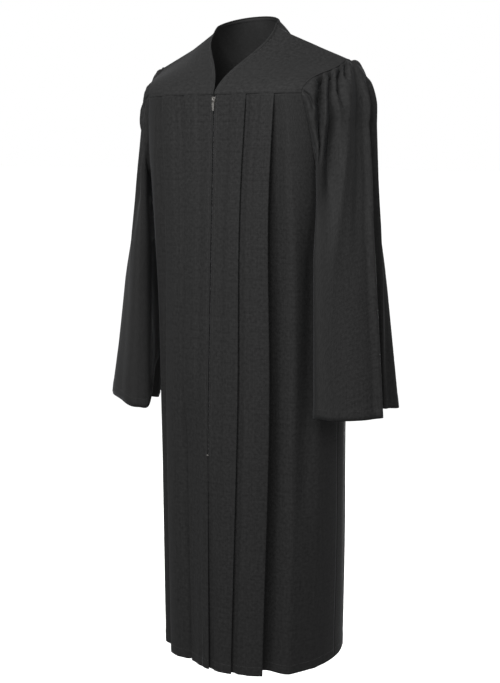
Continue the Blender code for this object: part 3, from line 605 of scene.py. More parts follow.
# %% [markdown]
# ## The back
# The back is one panel under its own yoke, with two pleats pressed outwards on each side and a plain middle.
# The photograph doesn't show it, so it takes the same cloth, folds and hem as the fronts.

# %% Back
BACK_SWELLS = (
    (0.012, 0.020, 0.016, 0.0014, 1.05, 0.00),
    (0.076, 0.100, 0.014, -0.0010, 1.00, 0.20),
    (0.165, 0.196, 0.018, 0.0026, 1.00, 0.00),
    (0.214, 0.236, 0.014, -0.0020, 0.85, 0.10),
)


def back_section(height):
    places, outs = pleated([], (0.0, 0.0), BACK_PLEATS, height, (7, 9, 18), behind=True)
    return places, outs + swells(BACK_SWELLS, places, height)


grid, over = panel_grid(BACK_HEIGHTS, BACK_YOKE_HEIGHT, back_section, TO_FRONT, behind=True)
back = cloth("back", grid[:, ::-1], back_cloth, *cloth_uv(grid[:, ::-1]), thick=over)
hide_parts("back_panel")
back_rows = grid
print("cloth across the back's hem:", round(lengths(grid, 1)[-1, -1], 3), "m")

# %% [markdown]
# ## The shoulder and neck lines
# The yokes start from two lines: the shoulder seam, which slopes down from the neck, and the neck's edge,
# which rises behind the neck like a low stand. The way in which the cloth leaves each line is set there too.

# %% Shoulder and neck lines
NECK_POINT_X, SHOULDER_POINT_X, NECK_POINT_Y, SHOULDER_POINT_Y = 0.0665, 0.2130, 0.012, 0.026
SHOULDER_POINT_HEIGHT, SHOULDER_SLOPE = 1.2212, 0.445
NECK_RISE, NECK_RISE_WIDTH = 0.0085, 0.0055
BACK_NECK = (0.0, 0.056, 1.3145)
YOKE_FALL, SEAM_FLAT, SEAM_LAP = 0.80, 0.004, 0.0001
LEDGE_UP, LEDGE_NEAR, LEDGE_FAR = 0.0011, 0.0009, 0.0085
SHOULDER_WAYS = ((0.17, -0.86, -0.49), (-0.02, -1.00, -0.06), (-0.20, -0.96, -0.12))
SHOULDER_WAY_PLACES = (0.0, 0.25, 1.0)
FRONT_FOOT_WAYS = ((-0.10, -0.52, -0.85), (-0.30, -0.30, -0.90))
BACK_LEAN, BACK_NECK_WAY, BACK_FOOT_WAY, NECK_SHARE = 1.1, (0.0, 0.42, -0.90), (0.0, 0.30, -0.95), 0.40


def thread(start, start_way, end, end_way, t):
    length = np.linalg.norm(end - start, axis=-1, keepdims=True)
    return hermite(t[:, None, None], start, start_way * length, end, end_way * length)


def shoulder_seam(u):
    x = NECK_POINT_X + u * (SHOULDER_POINT_X - NECK_POINT_X)
    rise = NECK_RISE * np.exp(-(x - NECK_POINT_X) / NECK_RISE_WIDTH)
    y = NECK_POINT_Y + np.minimum(2 * u, 1.0) * (SHOULDER_POINT_Y - NECK_POINT_Y)
    return np.stack([x, y, SHOULDER_POINT_HEIGHT + SHOULDER_SLOPE * (SHOULDER_POINT_X - x) + rise], 1)


def shoulder_way(u):
    ways = [curve(u, SHOULDER_WAY_PLACES, [way[k] for way in SHOULDER_WAYS]) for k in range(3)]
    return unit(np.stack(ways, 1))


def back_neck(neck_point, part):
    turn = part * np.pi / 2
    x = neck_point[0] * np.cos(turn)
    y = neck_point[1] + (BACK_NECK[1] - neck_point[1]) * np.sin(turn)
    return np.stack([x, y, neck_point[2] + (BACK_NECK[2] - neck_point[2]) * np.sin(turn)], 1)


print("shoulder seam along the cloth:", round(so_far(shoulder_seam(np.linspace(0, 1, 20)))[-1], 3), "m")

# %% [markdown]
# ## The form of a yoke
# A yoke is a plain piece that carries the panels from the shoulders. Its form comes from threads: each leaves
# the shoulder seam in a set way, and arrives at the yoke seam in another, as cloth does over a shoulder.

# %% Form of a yoke
def to_seam(grid, foot, seam_height, count=5):
    """Adds a yoke's last rows, straight down from its foot to the seam."""
    hem = foot.copy()
    hem[:, 2] = seam_height - SEAM_LAP
    return np.concatenate([grid, [foot + (hem - foot) * k / count for k in range(1, count + 1)]])


def front_yoke_grid(columns, rows):
    outer = armhole_place(YOKE_HEIGHT, behind=False)
    foot = on_ring(YOKE_HEIGHT, FRONT_EDGE + columns * (outer - FRONT_EDGE), 0.0)
    foot[:, 2] = YOKE_HEIGHT + SEAM_GAP + SEAM_FLAT
    sweep = columns[:, None] ** 2
    end_way = unit((1 - sweep) * np.array(FRONT_FOOT_WAYS[0]) + sweep * np.array(FRONT_FOOT_WAYS[1]))
    falling = unit(shoulder_way(columns) + np.array([0.0, 0.0, -YOKE_FALL]))
    return to_seam(thread(shoulder_seam(columns), falling, foot, end_way, rows), foot, YOKE_HEIGHT)


def back_yoke_grid(columns, neck_columns, rows):
    downhill = unit(shoulder_seam(np.array([0.06])) - shoulder_seam(np.array([0.0])))
    shoulder_ways = unit(BACK_LEAN * (1 - columns[:, None]) ** 2 * downhill - shoulder_way(columns))
    neck = back_neck(shoulder_seam(np.array([0.0]))[0], neck_columns)
    blend = neck_columns[:, None]
    neck_ways = unit((1 - blend) * shoulder_ways[:1] + blend * np.array(BACK_NECK_WAY))
    start = both_sides(np.concatenate([neck[::-1], shoulder_seam(columns)[1:]]))
    start_way = both_sides(np.concatenate([neck_ways[::-1], shoulder_ways[1:]]))
    run = ring(BACK_YOKE_HEIGHT)[1]
    outer = run[-1] - armhole_place(BACK_YOKE_HEIGHT, behind=True)
    neck_spread, rest = (1 - neck_columns[::-1]) * NECK_SHARE, (1 - NECK_SHARE) * columns[1:]
    spread = np.concatenate([neck_spread, NECK_SHARE + rest])
    foot = both_sides(on_ring(BACK_YOKE_HEIGHT, run[-1] - spread * outer, 0.0))
    foot[:, 2] = BACK_YOKE_HEIGHT + SEAM_GAP + SEAM_FLAT
    end_way = unit(np.tile(np.array(BACK_FOOT_WAY), (len(foot), 1)))
    return to_seam(thread(start, start_way, foot, end_way, rows), foot, BACK_YOKE_HEIGHT)


def ends_close(count, near=0.0012):
    """Places from 0 to 1 that lie closer together at both ends."""
    t = np.linspace(0, 1, count)
    return (1 - np.cos(np.pi * t)) / 2 * (1 - near) + near * t


YOKE_COLUMNS, YOKE_ROWS, NECK_COLUMNS = ends_close(64), ends_close(56), np.linspace(0, 1, 36)
print("front yoke's points:", front_yoke_grid(YOKE_COLUMNS, YOKE_ROWS).shape)

# %% [markdown]
# ## Yoke pieces
# The neck edges are folded in and stitched close to the fold, so they are thicker and roll a little. Below
# a yoke's last row its seam allowance turns up and in, which keeps light from passing through the seam.

# %% Yoke pieces
def normals(grid, closed=False):
    """The way out of the cloth at each point."""
    down = np.gradient(grid, axis=0)
    across = np.roll(grid, -1, axis=1) - np.roll(grid, 1, axis=1)
    if not closed:
        across = np.gradient(grid, axis=1)
    return unit(np.cross(down, across))


def seam_ledge(grid, over, inward):
    """Adds the seam allowance below a yoke's last row: cloth turned up and in, above the panel's own."""
    up = grid[-1] + np.array([0.0, 0.0, LEDGE_UP])
    ledge = [up + inward * LEDGE_NEAR, up + inward * LEDGE_FAR]
    return np.concatenate([grid, ledge]), np.pad(over, ((0, 2), (0, 0)))


def neck_roll(distance):
    """A neck edge's soft roll over its fold, with the dip of the stitches inside it."""
    return 0.0011 * hump(distance, 0.0020, 0.0022) - 0.0005 * hump(distance, 0.0062, 0.0012)


def neck_lean(grid):
    """The right neck edge stands a little further from the neck than the left one."""
    x, y, z = np.moveaxis(grid, 2, 0)
    weight = hump(x, -0.0665, 0.045) * hump(z, 1.262, 0.035) * soft((0.03 - x) / 0.06)
    return grid - np.stack([0.0070 * weight, -0.0015 * weight, 0 * weight], 2)


for side in ("left", "right"):
    grid = front_yoke_grid(YOKE_COLUMNS, YOKE_ROWS)
    from_neck, from_seam = lengths(grid, 1), lengths(grid, 0)
    to_foot = from_seam[-1] - from_seam
    dip = seam_dip(to_foot) + seam_dip(from_seam, 0.0002)
    grid = grid + normals(grid) * (dip + neck_roll(from_neck))[:, :, None]
    over = soft((NECK_FOLD - from_neck) / NECK_FADE)
    if side == "right":
        grid = neck_lean(grid * (-1, 1, 1))
    whole, over = seam_ledge(grid, over, TO_BACK)
    piece = cloth("front_yoke_piece_" + side, whole, yoke_cloth, *cloth_uv(whole), thick=over)
    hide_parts("front_yoke_" + side)
    fronts["yoke_" + side] = (piece, grid)

grid = back_yoke_grid(YOKE_COLUMNS, NECK_COLUMNS, YOKE_ROWS)
from_top = lengths(grid, 0)
neck = np.zeros(grid.shape[1])
middle_column, reach = grid.shape[1] // 2, len(NECK_COLUMNS) - 1
neck[middle_column - reach:middle_column + reach + 1] = 1.0
dip = seam_dip(from_top[-1] - from_top) + seam_dip(from_top, 0.0002) * (1 - neck)
grid = neck_lean(grid - normals(grid) * (dip + neck * neck_roll(from_top))[:, :, None])
over = neck * soft((NECK_FOLD - from_top) / NECK_FADE)
whole, over = seam_ledge(grid, over, TO_FRONT)
back_yoke = cloth("back_yoke_piece", whole, yoke_cloth, *cloth_uv(whole), thick=over)
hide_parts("back_yoke")
back_yoke_rows = grid

# %% [markdown]
# ## Bell sleeves
# A bell sleeve is cut much wider than the armhole, and falls in long flutes to a wide cuff. Its form is told
# by some upright lines round it, each at three heights. 0 is the underarm, and the front comes first.

# %% Sleeve form
SLEEVE_HEIGHTS = (0.54, 0.80, 1.10)
SLEEVE_COLUMNS = ("around", "x", "y", "cuff_left", "cuff_right")
SLEEVE_LINES = (
    (0.000, (0.214, 0.213, 0.213), (0.035, 0.035, 0.030), 0.625, 0.625),
    (0.070, (0.207, 0.207, 0.208), (-0.025, -0.022, -0.022), 0.595, 0.600),
    (0.135, (0.200, 0.198, 0.193), (-0.066, -0.064, -0.060), 0.533, 0.513),
    (0.170, (0.211, 0.205, 0.199), (-0.081, -0.078, -0.070), 0.540, 0.513),
    (0.300, (0.254, 0.244, 0.231), (-0.072, -0.060, -0.040), 0.538, 0.522),
    (0.450, (0.306, 0.285, 0.251), (0.002, 0.006, 0.026), 0.539, 0.518),
    (0.530, (0.262, 0.264, 0.251), (0.062, 0.054, 0.062), 0.540, 0.502),
    (0.620, (0.298, 0.270, 0.238), (0.108, 0.102, 0.096), 0.535, 0.500),
    (0.740, (0.256, 0.236, 0.217), (0.146, 0.132, 0.117), 0.540, 0.508),
    (0.860, (0.214, 0.207, 0.205), (0.133, 0.122, 0.108), 0.560, 0.525),
    (0.930, (0.212, 0.211, 0.211), (0.090, 0.083, 0.073), 0.595, 0.570),
)
SLEEVE_INNER = 0.205
CREASED = {"left": 1.0, "right": 0.85}
SLEEVE_SPREAD = {"left": (1.00, 1.00, 1.00), "right": (1.19, 1.07, 0.88)}
CUFF_DROP, SLEEVE_ROUND = 0.05, 0.75  # the second is the cloth's usual way round, for the weave


def sleeve_line(name, around, height=None):
    starts = column(SLEEVE_LINES, SLEEVE_COLUMNS, "around")
    values = column(SLEEVE_LINES, SLEEVE_COLUMNS, name)
    count = len(starts)
    turns = range(-3, count + 4)
    knots = [starts[k % count] + k // count for k in turns]
    if height is None:
        return curve(around, knots, [values[k % count] for k in turns])
    low, middle, high = (
        curve(around, knots, [values[k % count][level] for k in turns]) for level in range(3))
    at = np.clip(height, SLEEVE_HEIGHTS[0] - CUFF_DROP, SLEEVE_HEIGHTS[2])
    below = (at - SLEEVE_HEIGHTS[0]) / (SLEEVE_HEIGHTS[1] - SLEEVE_HEIGHTS[0])
    above = (at - SLEEVE_HEIGHTS[1]) / (SLEEVE_HEIGHTS[2] - SLEEVE_HEIGHTS[1])
    return np.where(at < SLEEVE_HEIGHTS[1], low + (middle - low) * below, middle + (high - middle) * above)


def hanging(around, height, side):
    x, y = sleeve_line("x", around, height), sleeve_line("y", around, height)
    spread = np.interp(height, SLEEVE_HEIGHTS, SLEEVE_SPREAD[side])
    return SLEEVE_INNER + (x - SLEEVE_INNER) * spread, y


print("left cuff's height at its lowest:", min(column(SLEEVE_LINES, SLEEVE_COLUMNS, "cuff_left")), "m")

# %% [markdown]
# ## The seam round the arm
# The sleeve starts from the body's own edge, so the panels' and the yokes' last columns are put end to end.

# %% Seam round the arm
ARMHOLE_INSIDE = 0.004


def armhole_edges():
    """The body's edge round the left armhole, from the underarm up the front and down the back."""
    def panel(heights, seam_height, behind, step):
        points = []
        for height in [h for h in heights if h >= UNDERARM_HEIGHT][::-1]:
            form = level_form(height, seam_height)
            point = on_ring(form, [armhole_place(form, behind) + step], 0.0)[0]
            point[2] = height
            points.append(point)
        return np.array(points)

    front = [panel(FRONT_HEIGHTS, YOKE_HEIGHT, False, step) for step in (0.0, -ARMHOLE_INSIDE)]
    rear = [panel(BACK_HEIGHTS, BACK_YOKE_HEIGHT, True, step)[::-1] for step in (0.0, ARMHOLE_INSIDE)]
    columns = np.array([0.0, 0.5, 0.97, 1.0])
    yoke = front_yoke_grid(columns, YOKE_ROWS)[::-1]
    rear_yoke = back_yoke_grid(columns, np.array([0.0, 0.5, 1.0]), YOKE_ROWS)
    pieces = [front, (yoke[:, -1], yoke[:, -2]), (rear_yoke[:, -1], rear_yoke[:, -2]), rear]
    around = []
    for quarter, (edge, _) in enumerate(pieces):
        run = so_far(edge)
        around.append(quarter / 4 + run / run[-1] / 4)
    edges, inner = zip(*pieces)
    return [np.concatenate([part[:-1] for part in parts[:3]] + [parts[3]])
            for parts in (around, edges, inner)]


print("armhole seam:", round(so_far(armhole_edges()[1])[-1], 3), "m")

# %% [markdown]
# ## Gathers and creases
# The sleeve's head is wider than its seam, so the extra width stands up there in small round ridges with
# tight valleys between them, which run out within a hand's breadth. Longer creases start among them and hang
# from the shoulder. Each is a line over the sleeve, and moves the cloth near it out or in.

# %% Gathers and creases
# Small gathers: where each ridge stands round the armhole, its height and how far down it reaches
GATHERS = (
    (0.262, 0.0005, 0.016), (0.285, 0.0008, 0.018), (0.312, 0.0009, 0.022), (0.337, 0.0010, 0.020),
    (0.360, 0.0008, 0.026), (0.384, 0.0010, 0.018), (0.410, 0.0009, 0.026), (0.436, 0.0011, 0.020),
    (0.461, 0.0009, 0.024), (0.485, 0.0010, 0.018), (0.508, 0.0008, 0.026), (0.534, 0.0010, 0.020),
    (0.560, 0.0009, 0.028), (0.585, 0.0010, 0.020), (0.611, 0.0008, 0.026), (0.640, 0.0010, 0.020),
    (0.668, 0.0009, 0.026), (0.700, 0.0008, 0.020), (0.730, 0.0008, 0.024), (0.757, 0.0005, 0.016),
)
GATHERS_FROM, GATHERS_TO, GATHERS_FADE, GATHERS_GROW = 0.245, 0.785, 0.03, 0.004
# Creases: the line that each follows, as (place round the sleeve, drop from the seam), its half width at
# each end, and how far it stands out (+) or in (-). The large gathers hang straight down from the seam, so
# their lines cross the threads. The long ones run on to the cuff
CREASES = (
    (((0.262, 0.0), (0.247, 0.014), (0.231, 0.018), (0.205, 0.016)), (0.0030, 0.004), -0.0050),
    (((0.362, 0.0), (0.344, 0.010), (0.311, 0.025), (0.281, 0.037), (0.250, 0.043), (0.227, 0.047),
      (0.215, 0.060), (0.206, 0.080), (0.199, 0.104)), (0.0074, 0.011), -0.0225),
    (((0.378, 0.0), (0.360, 0.009), (0.310, 0.034), (0.275, 0.050), (0.256, 0.060), (0.246, 0.073),
      (0.238, 0.092), (0.233, 0.120)), (0.0028, 0.0045), 0.0050),
    (((0.404, 0.0), (0.387, 0.015), (0.339, 0.040), (0.308, 0.056), (0.292, 0.073), (0.286, 0.096),
      (0.283, 0.120), (0.281, 0.150), (0.278, 0.190), (0.272, 0.270)), (0.0074, 0.013), -0.0190),
    (((0.425, 0.0), (0.391, 0.015), (0.326, 0.054), (0.298, 0.110)), (0.0030, 0.008), 0.0042),
    (((0.454, 0.0), (0.410, 0.022), (0.360, 0.053), (0.340, 0.090)), (0.0040, 0.007), -0.0180),
    (((0.463, 0.0), (0.395, 0.031), (0.360, 0.062)), (0.0028, 0.005), 0.0030),
    (((0.487, 0.0), (0.473, 0.006), (0.430, 0.029), (0.408, 0.050)), (0.0034, 0.005), -0.0125),
    (((0.272, 0.070), (0.262, 0.120), (0.252, 0.200), (0.244, 0.330)), (0.0250, 0.036), -0.0100),
    (((0.500, 0.0), (0.474, 0.012), (0.404, 0.050), (0.358, 0.108), (0.350, 0.160), (0.320, 0.258),
      (0.287, 0.354), (0.278, 0.480)), (0.0065, 0.014), 0.0044),
    (((0.518, 0.0), (0.505, 0.012), (0.450, 0.055), (0.420, 0.100), (0.405, 0.200), (0.385, 0.320),
      (0.370, 0.450)), (0.0070, 0.015), -0.0042),
    (((0.526, 0.004), (0.484, 0.060), (0.470, 0.096), (0.458, 0.240), (0.443, 0.321), (0.442, 0.452),
      (0.441, 0.600), (0.436, 0.720)), (0.0056, 0.008), 0.0118),
    (((0.520, 0.050), (0.500, 0.096), (0.487, 0.240), (0.474, 0.450), (0.468, 0.720)), (0.0060, 0.010),
     -0.0066),
)
CUFF_REACHED = 0.70  # a line whose drop passes this runs out over the cuff
REAR_SHIFT, REAR_SHARE = 1.012, 0.9  # the hidden rear half has the same lines, each at this less its place
SEAM_START, SEAM_RUN = 0.30, 0.010  # how strongly a crease starts at the seam, and how soon it is whole
NARROW_FADE, WIDE_FADE, WIDE_CREASE, END_FADE = 0.15, 0.30, 0.02, 0.45


def gather(around, drop):
    """Round ridges with tight valleys between them."""
    ridges, heights, reaches = np.array(GATHERS).T
    step = np.interp(around, ridges, np.arange(len(ridges)))
    height, reach = np.interp(around, ridges, heights), np.interp(around, ridges, reaches)
    ends = soft((around - GATHERS_FROM) / GATHERS_FADE) * soft((GATHERS_TO - around) / GATHERS_FADE)
    valley = 2 * np.abs(np.cos(np.pi * step)) ** 0.8 - 1
    return height * ends * soft(drop / GATHERS_GROW) * np.exp(-((drop / reach) ** 2)) * valley


def on_sleeve(grid, run, place, drop):
    """The point of the sleeve at a place round it and a drop from the seam."""
    column_there = int(round(place * grid.shape[1])) % grid.shape[1]
    return read_along(drop, run[:, column_there], grid[:, column_there])


def crease(grid, run, line, widths, out):
    """One crease over the whole sleeve, by each point's distance from the crease's line."""
    knots = np.array([on_sleeve(grid, run, place, drop) for place, drop in line])
    legs = np.linalg.norm(np.diff(knots, axis=0), axis=1)
    ends = np.concatenate([[0.0], np.cumsum(legs)]) / legs.sum()
    nearest, part = np.full(run.shape, 9.0), np.zeros(run.shape)
    for k, leg in enumerate(legs):
        way = (knots[k + 1] - knots[k]) / leg
        along = np.clip((grid - knots[k]) @ way, 0, leg)
        distance = np.linalg.norm(grid - knots[k] - along[:, :, None] * way, axis=2)
        closer = distance < nearest
        nearest = np.where(closer, distance, nearest)
        part = np.where(closer, ends[k] + along / leg * (ends[k + 1] - ends[k]), part)
    width = widths[0] + (widths[1] - widths[0]) * part
    if line[0][1] == 0:
        fade = soft(run / SEAM_RUN + SEAM_START)
    else:
        fade = soft(part / (NARROW_FADE if widths[0] < WIDE_CREASE else WIDE_FADE))
    if line[-1][1] < CUFF_REACHED:
        fade = fade * soft((1 - part) / END_FADE)
    return out * fade * hump(nearest, 0.0, width)


def crease_lift(grid, run, strength):
    total = np.zeros(run.shape)
    for line, widths, out in CREASES:
        total += crease(grid, run, line, widths, out * strength)
        rear = [(REAR_SHIFT - place, down) for place, down in line]
        total += crease(grid, run, rear, widths, out * strength * REAR_SHARE)
    return total


print("creases on each half of a sleeve:", len(CREASES))

# %% [markdown]
# ## Sleeve pieces
# The sleeve is built from threads too: each leaves the armhole seam at its own angle, turns down and hangs to
# the cuff along the sleeve's form. The gathers and creases then lift it, and the cuff is folded over.

# %% Sleeve pieces
HEAD_AROUND = (0.00, 0.08, 0.15, 0.20, 0.25, 0.50, 0.75, 0.80, 0.86, 0.92, 1.00)
HEAD_TURN = (165.0, 140.0, 105.0, 70.0, 40.0, 30.0, 40.0, 70.0, 105.0, 140.0, 165.0)
HEAD_DROP_BY = (0.030, 0.035, 0.045, 0.055, 0.065, 0.095, 0.065, 0.055, 0.045, 0.035, 0.030)
HEAD_OUT, HEAD_DOWN = 0.20, 0.62
SLEEVE_CLEAR, HEAD_CLEAR, OFF_BODY = 0.0012, 1.6 * SEAM_GAP, 0.00075
ROUND_STEP, CHEST_POINT = 0.004, (0.10, 0.02, 1.0)
# The cloth inside the armhole: how far in along the body, how far under it, and how far before the seam
SLEEVE_TUCKS = ((0.004, 0.0022, 0.008), (0.0005, 0.0016, 0.003))


def sleeve_grid(side, around, turn_rows, hang_rows):
    known, edge, inner = armhole_edges()
    seam, into = read_along(around, known, edge), read_along(around, known, inner)
    ahead = read_along(np.mod(around + ROUND_STEP, 1), known, edge)
    behind = read_along(np.mod(around - ROUND_STEP, 1), known, edge)
    normal = unit(np.cross(ahead - behind, into - seam))
    normal *= np.sign(np.sum(normal * (seam - np.array(CHEST_POINT)), axis=1))[:, None]
    onward = unit(np.cross(normal, ahead - behind))
    onward *= np.sign(np.sum(onward * (seam - into), axis=1))[:, None]
    turn = np.radians(curve(around, HEAD_AROUND, HEAD_TURN))
    straight_on = np.clip(np.cos(turn), 0, 1)
    stand_on = SLEEVE_CLEAR * np.sin(turn) + HEAD_CLEAR * straight_on
    stand_off = OFF_BODY - SLEEVE_CLEAR * np.cos(turn) + SEAM_GAP * straight_on
    start = seam + onward * stand_on[:, None] + normal * stand_off[:, None]
    way = onward * np.cos(turn)[:, None] + normal * np.sin(turn)[:, None]
    foot_height = start[:, 2] - curve(around, HEAD_AROUND, HEAD_DROP_BY)
    foot = np.stack([*hanging(around, foot_height, side), foot_height], 1)
    reach = np.linalg.norm(foot - start, axis=1)[:, None]
    b = start + way * HEAD_OUT * reach
    c = foot + np.array([0.0, 0.0, 1.0]) * HEAD_DOWN * reach
    rows = [(1 - t) ** 3 * start + 3 * t * (1 - t) ** 2 * b + 3 * t * t * (1 - t) * c + t**3 * foot
            for t in turn_rows]
    cuff = sleeve_line("cuff_" + side, around)
    for t in hang_rows:
        height = foot_height + (cuff - foot_height) * t
        rows.append(np.stack([*hanging(around, height, side), height], 1))
    grid = np.array(rows)
    run = lengths(grid, 0)
    lift = gather(around, run) + crease_lift(grid, run, CREASED[side]) + seam_dip(run, 0.0004, 0.003)
    grid = grid + normals(grid, closed=True) * lift[:, :, None]
    tucked = [seam - onward * inward - normal * under for inward, under, _ in SLEEVE_TUCKS]
    before = [run[0] - distance for _, _, distance in SLEEVE_TUCKS]
    return np.concatenate([tucked, grid]), np.concatenate([before, run])


around = np.linspace(0, 1, 441)[:-1]
turn_rows, hang_rows = np.linspace(0, 1, 37) ** 1.2, np.linspace(0, 1, 70)[1:] ** 1.15
sleeves = {}
for side in ("left", "right"):
    grid, run = sleeve_grid(side, around, turn_rows, hang_rows)
    over = soft((HEM_FOLD - (run[-1] - run)) / HEM_FADE)
    across = np.repeat(around[None] * SLEEVE_ROUND, len(grid), 0)
    if side == "right":
        grid = grid * (-1, 1, 1)
    piece = cloth("sleeve_piece_" + side, grid, sleeve_cloth, across, -run, closed=True, thick=over,
                  axis=SLEEVE_AXIS[side])
    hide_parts("sleeve_" + side)
    sleeves[side] = (piece, grid)

# %% [markdown]
# ## The zip's tapes
# The zip is sewn in behind the two front edges. Its tapes are a close herringbone weave, flatter and smoother
# than the robe's cloth. At this size a plain weave does for it, with a finer yarn and less than half the
# depth of bump. The tapes follow the fronts' own form, one wall further in.

# %% Zip tapes
TAPE_EDGE, TAPE_WALL, TAPE_IN = 0.0026, 0.0008, 0.0019
tape_cloth = woven_polyester("woven_zip_tape_black", ("#0a0a0b", "#101011"), yarn=0.0008, lift=0.00005)
tapes, places = {}, np.linspace(TAPE_EDGE, TAPE_END, 9)
for side, sign in (("left", 1), ("right", -1)):
    tape_grid = np.array([on_ring(height, places, -TAPE_IN) for height in np.linspace(ZIP_TOP, ZIP_FOOT, 90)])
    tape_grid = tape_grid * (sign, 1, 1)
    piece = cloth("zip_tape_piece_" + side, tape_grid, tape_cloth, *cloth_uv(tape_grid), wall=TAPE_WALL)
    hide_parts("zip_tape_" + side)
    tapes[side] = (piece, tape_grid)

# %% [markdown]
# ## Round threads
# The zip's coils, the slider's bridge and the stitches are all round threads: a ring of points is carried
# along a path, square to it, and closed at both ends.

# %% Round threads
def tube(path, radius, sides=6):
    """Points and faces of a round thread along a path, with closed ends."""
    path = np.asarray(path, float)
    along = unit(np.gradient(path, axis=0))
    guide = np.where(np.abs(along[:, 2:]) > 0.9, (0.0, 1.0, 0.0), (0.0, 0.0, 1.0))
    first = unit(np.cross(along, guide))
    second = np.cross(along, first)
    turn = np.linspace(0, 2 * np.pi, sides, endpoint=False)
    radius = np.broadcast_to(radius, len(path))[:, None, None]
    around = np.cos(turn)[None, :, None] * first[:, None] + np.sin(turn)[None, :, None] * second[:, None]
    points = (path[:, None] + radius * around).reshape(-1, 3)
    faces = grid_faces(len(path), sides, True).tolist()
    last = len(points) - sides
    return points, faces + [list(range(sides))[::-1], list(range(last, last + sides))]


def put_together(parts):
    """Several (points, faces) as one."""
    points, faces, count = [], [], 0
    for some, around in parts:
        points.append(some)
        faces += [[k + count for k in face] for face in around]
        count += len(some)
    return np.concatenate(points), faces


print("points in a short thread:", len(tube([(0, 0, 0), (0, 0, 1), (0, 0, 2)], 0.1)[0]))

# %% [markdown]
# ## The coil chain
# The chain of such a zip isn't cut teeth but two nylon threads wound into flat coils, whose loops slip
# between each other. Each coil is a round thread swept along a flattened helix. The real loops lie 1.3 mm
# apart. They are drawn 1.8 mm apart, which keeps the mesh small and looks the same at arm's length.

# %% Coil chain
COIL_PITCH, COIL_REACH, COIL_DEPTH, COIL_THREAD = 0.0018, 0.00115, 0.00055, 0.00027
CHAIN_IN, SLIDER_LENGTH, STOP_LENGTH = 0.0021, 0.0110, 0.0030


def streaked(name, tones, scale, detail, rough, **sockets):
    """A thread or filament: smooth, with a soft gloss and faint streaks."""
    made, tree, shader = new_material(name, **sockets)
    streak = add_noise(tree, (add_node(tree, "ShaderNodeTexCoord"), "Object"), scale, detail)
    add_surface(tree, shader, streak, tones, streak, rough)
    return made


nylon = streaked("drawn_nylon_coil_black", ("#0b0b0c", "#141415"), 900.0, 2.0, (0.36, 0.50),
                 IOR=1.53, Specular_IOR_Level=0.35)
chain_top = ZIP_TOP - SLIDER_LENGTH - 0.0006
chain_foot = ZIP_FOOT + STOP_LENGTH + 0.0006
heights = np.arange(chain_top, chain_foot, -COIL_PITCH / 10)
centre = np.array([on_ring(height, [0.0], 0.0)[0, 1] for height in np.linspace(chain_top, chain_foot, 60)])
centre = np.interp(heights, np.linspace(chain_foot, chain_top, 60), centre[::-1]) + CHAIN_IN
coils = []
for sign in (1, -1):
    turn = 2 * np.pi * heights / COIL_PITCH + (np.pi if sign < 0 else 0.0)
    across = sign * (0.0009 + COIL_REACH * np.cos(turn))
    path = np.stack([across, centre + COIL_DEPTH * np.sin(turn), heights - HOLD_HEIGHT], 1)
    coils.append(tube(path, COIL_THREAD, 5))
chain = add_mesh("coil_chain", *put_together(coils), nylon)
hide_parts("zip_chain")
print("loops:", 2 * round((chain_top - chain_foot) / COIL_PITCH))

# %% [markdown]
# ## The zip's metal
# The slider, its pull tab and the bottom stop are pressed or die-cast in zinc alloy and plated with black
# nickel, which is a dark grey metal. The plating takes the casting's faint waves, so its gloss varies a
# little, and its edges are rounded where it was tumbled. Each is made of flat plates, cut to an outline
# whose corners are round.

# %% Metal
PLATE, SLIDER_WIDTH, BRIDGE_CLEAR, POST, STOP_HALF = 0.0012, 0.0080, 0.0022, 0.0008, 0.0023
FRONT_WALL, SOLID_GAP, SOLID_TAPE = 0.00075, 0.0003, 0.0010
PULL_LENGTH, PULL_WIDTH, PULL_WALL, PULL_WINDOW, PULL_RAIL = 0.0215, 0.0056, 0.0010, 0.0056, 0.0011


def plated_nickel(name, tones):
    made, tree, shader = new_material(name, Metallic=1.0)
    place = add_node(tree, "ShaderNodeTexCoord"), "Object"
    wave = add_noise(tree, place, scale=400.0, detail=3.0, roughness=0.55)
    fine = add_noise(tree, place, scale=2600.0, detail=2.0)
    add_surface(tree, shader, wave, tones, fine, (0.22, 0.36), bump=(wave, 0.25, 0.0001))
    return made


def oblong(half, foot, top):
    return [(-half, foot), (half, foot), (half, top), (-half, top)]


def plate(outline, front, rear):
    """A plate cut to an outline of (x, height) points, from a front to a rear depth."""
    count = len(outline)
    near = [(x, front, height - HOLD_HEIGHT) for x, height in outline]
    far = [(x, rear, height - HOLD_HEIGHT) for x, height in outline]
    sides = [[k, k + count, (k + 1) % count + count, (k + 1) % count] for k in range(count)]
    return np.array(near + far), [list(range(count)), list(range(count, 2 * count))[::-1]] + sides


def rounded(points, radius, steps=4):
    """An outline with each corner cut round."""
    made = []
    for k, corner in enumerate(points):
        before, after = points[k - 1], points[(k + 1) % len(points)]
        a, b = unit(np.subtract(before, corner)), unit(np.subtract(after, corner))
        for t in np.linspace(0, 1, steps + 1):
            made.append(tuple(np.array(corner) + radius * (a * (1 - t) ** 2 + b * t**2)))
    return made


def metal_piece(name, parts, body_name="robe", edge=0.00018):
    made = add_mesh(name, *put_together(parts), nickel, body_name)
    made.data.set_sharp_from_angle(angle=np.radians(40))
    bevel = made.modifiers.new("tumbled edges", "BEVEL")
    bevel.width, bevel.segments, bevel.limit_method = edge, 2, "ANGLE"
    return made


nickel = plated_nickel("black_nickel_plate_on_zinc", ("#403f3e", "#74726f"))
print("plates are", 1000 * PLATE, "mm thick")

# %% [markdown]
# ## Slider
# The slider has a plate before and behind the tapes, joined by a post, and a bridge that holds the pull.

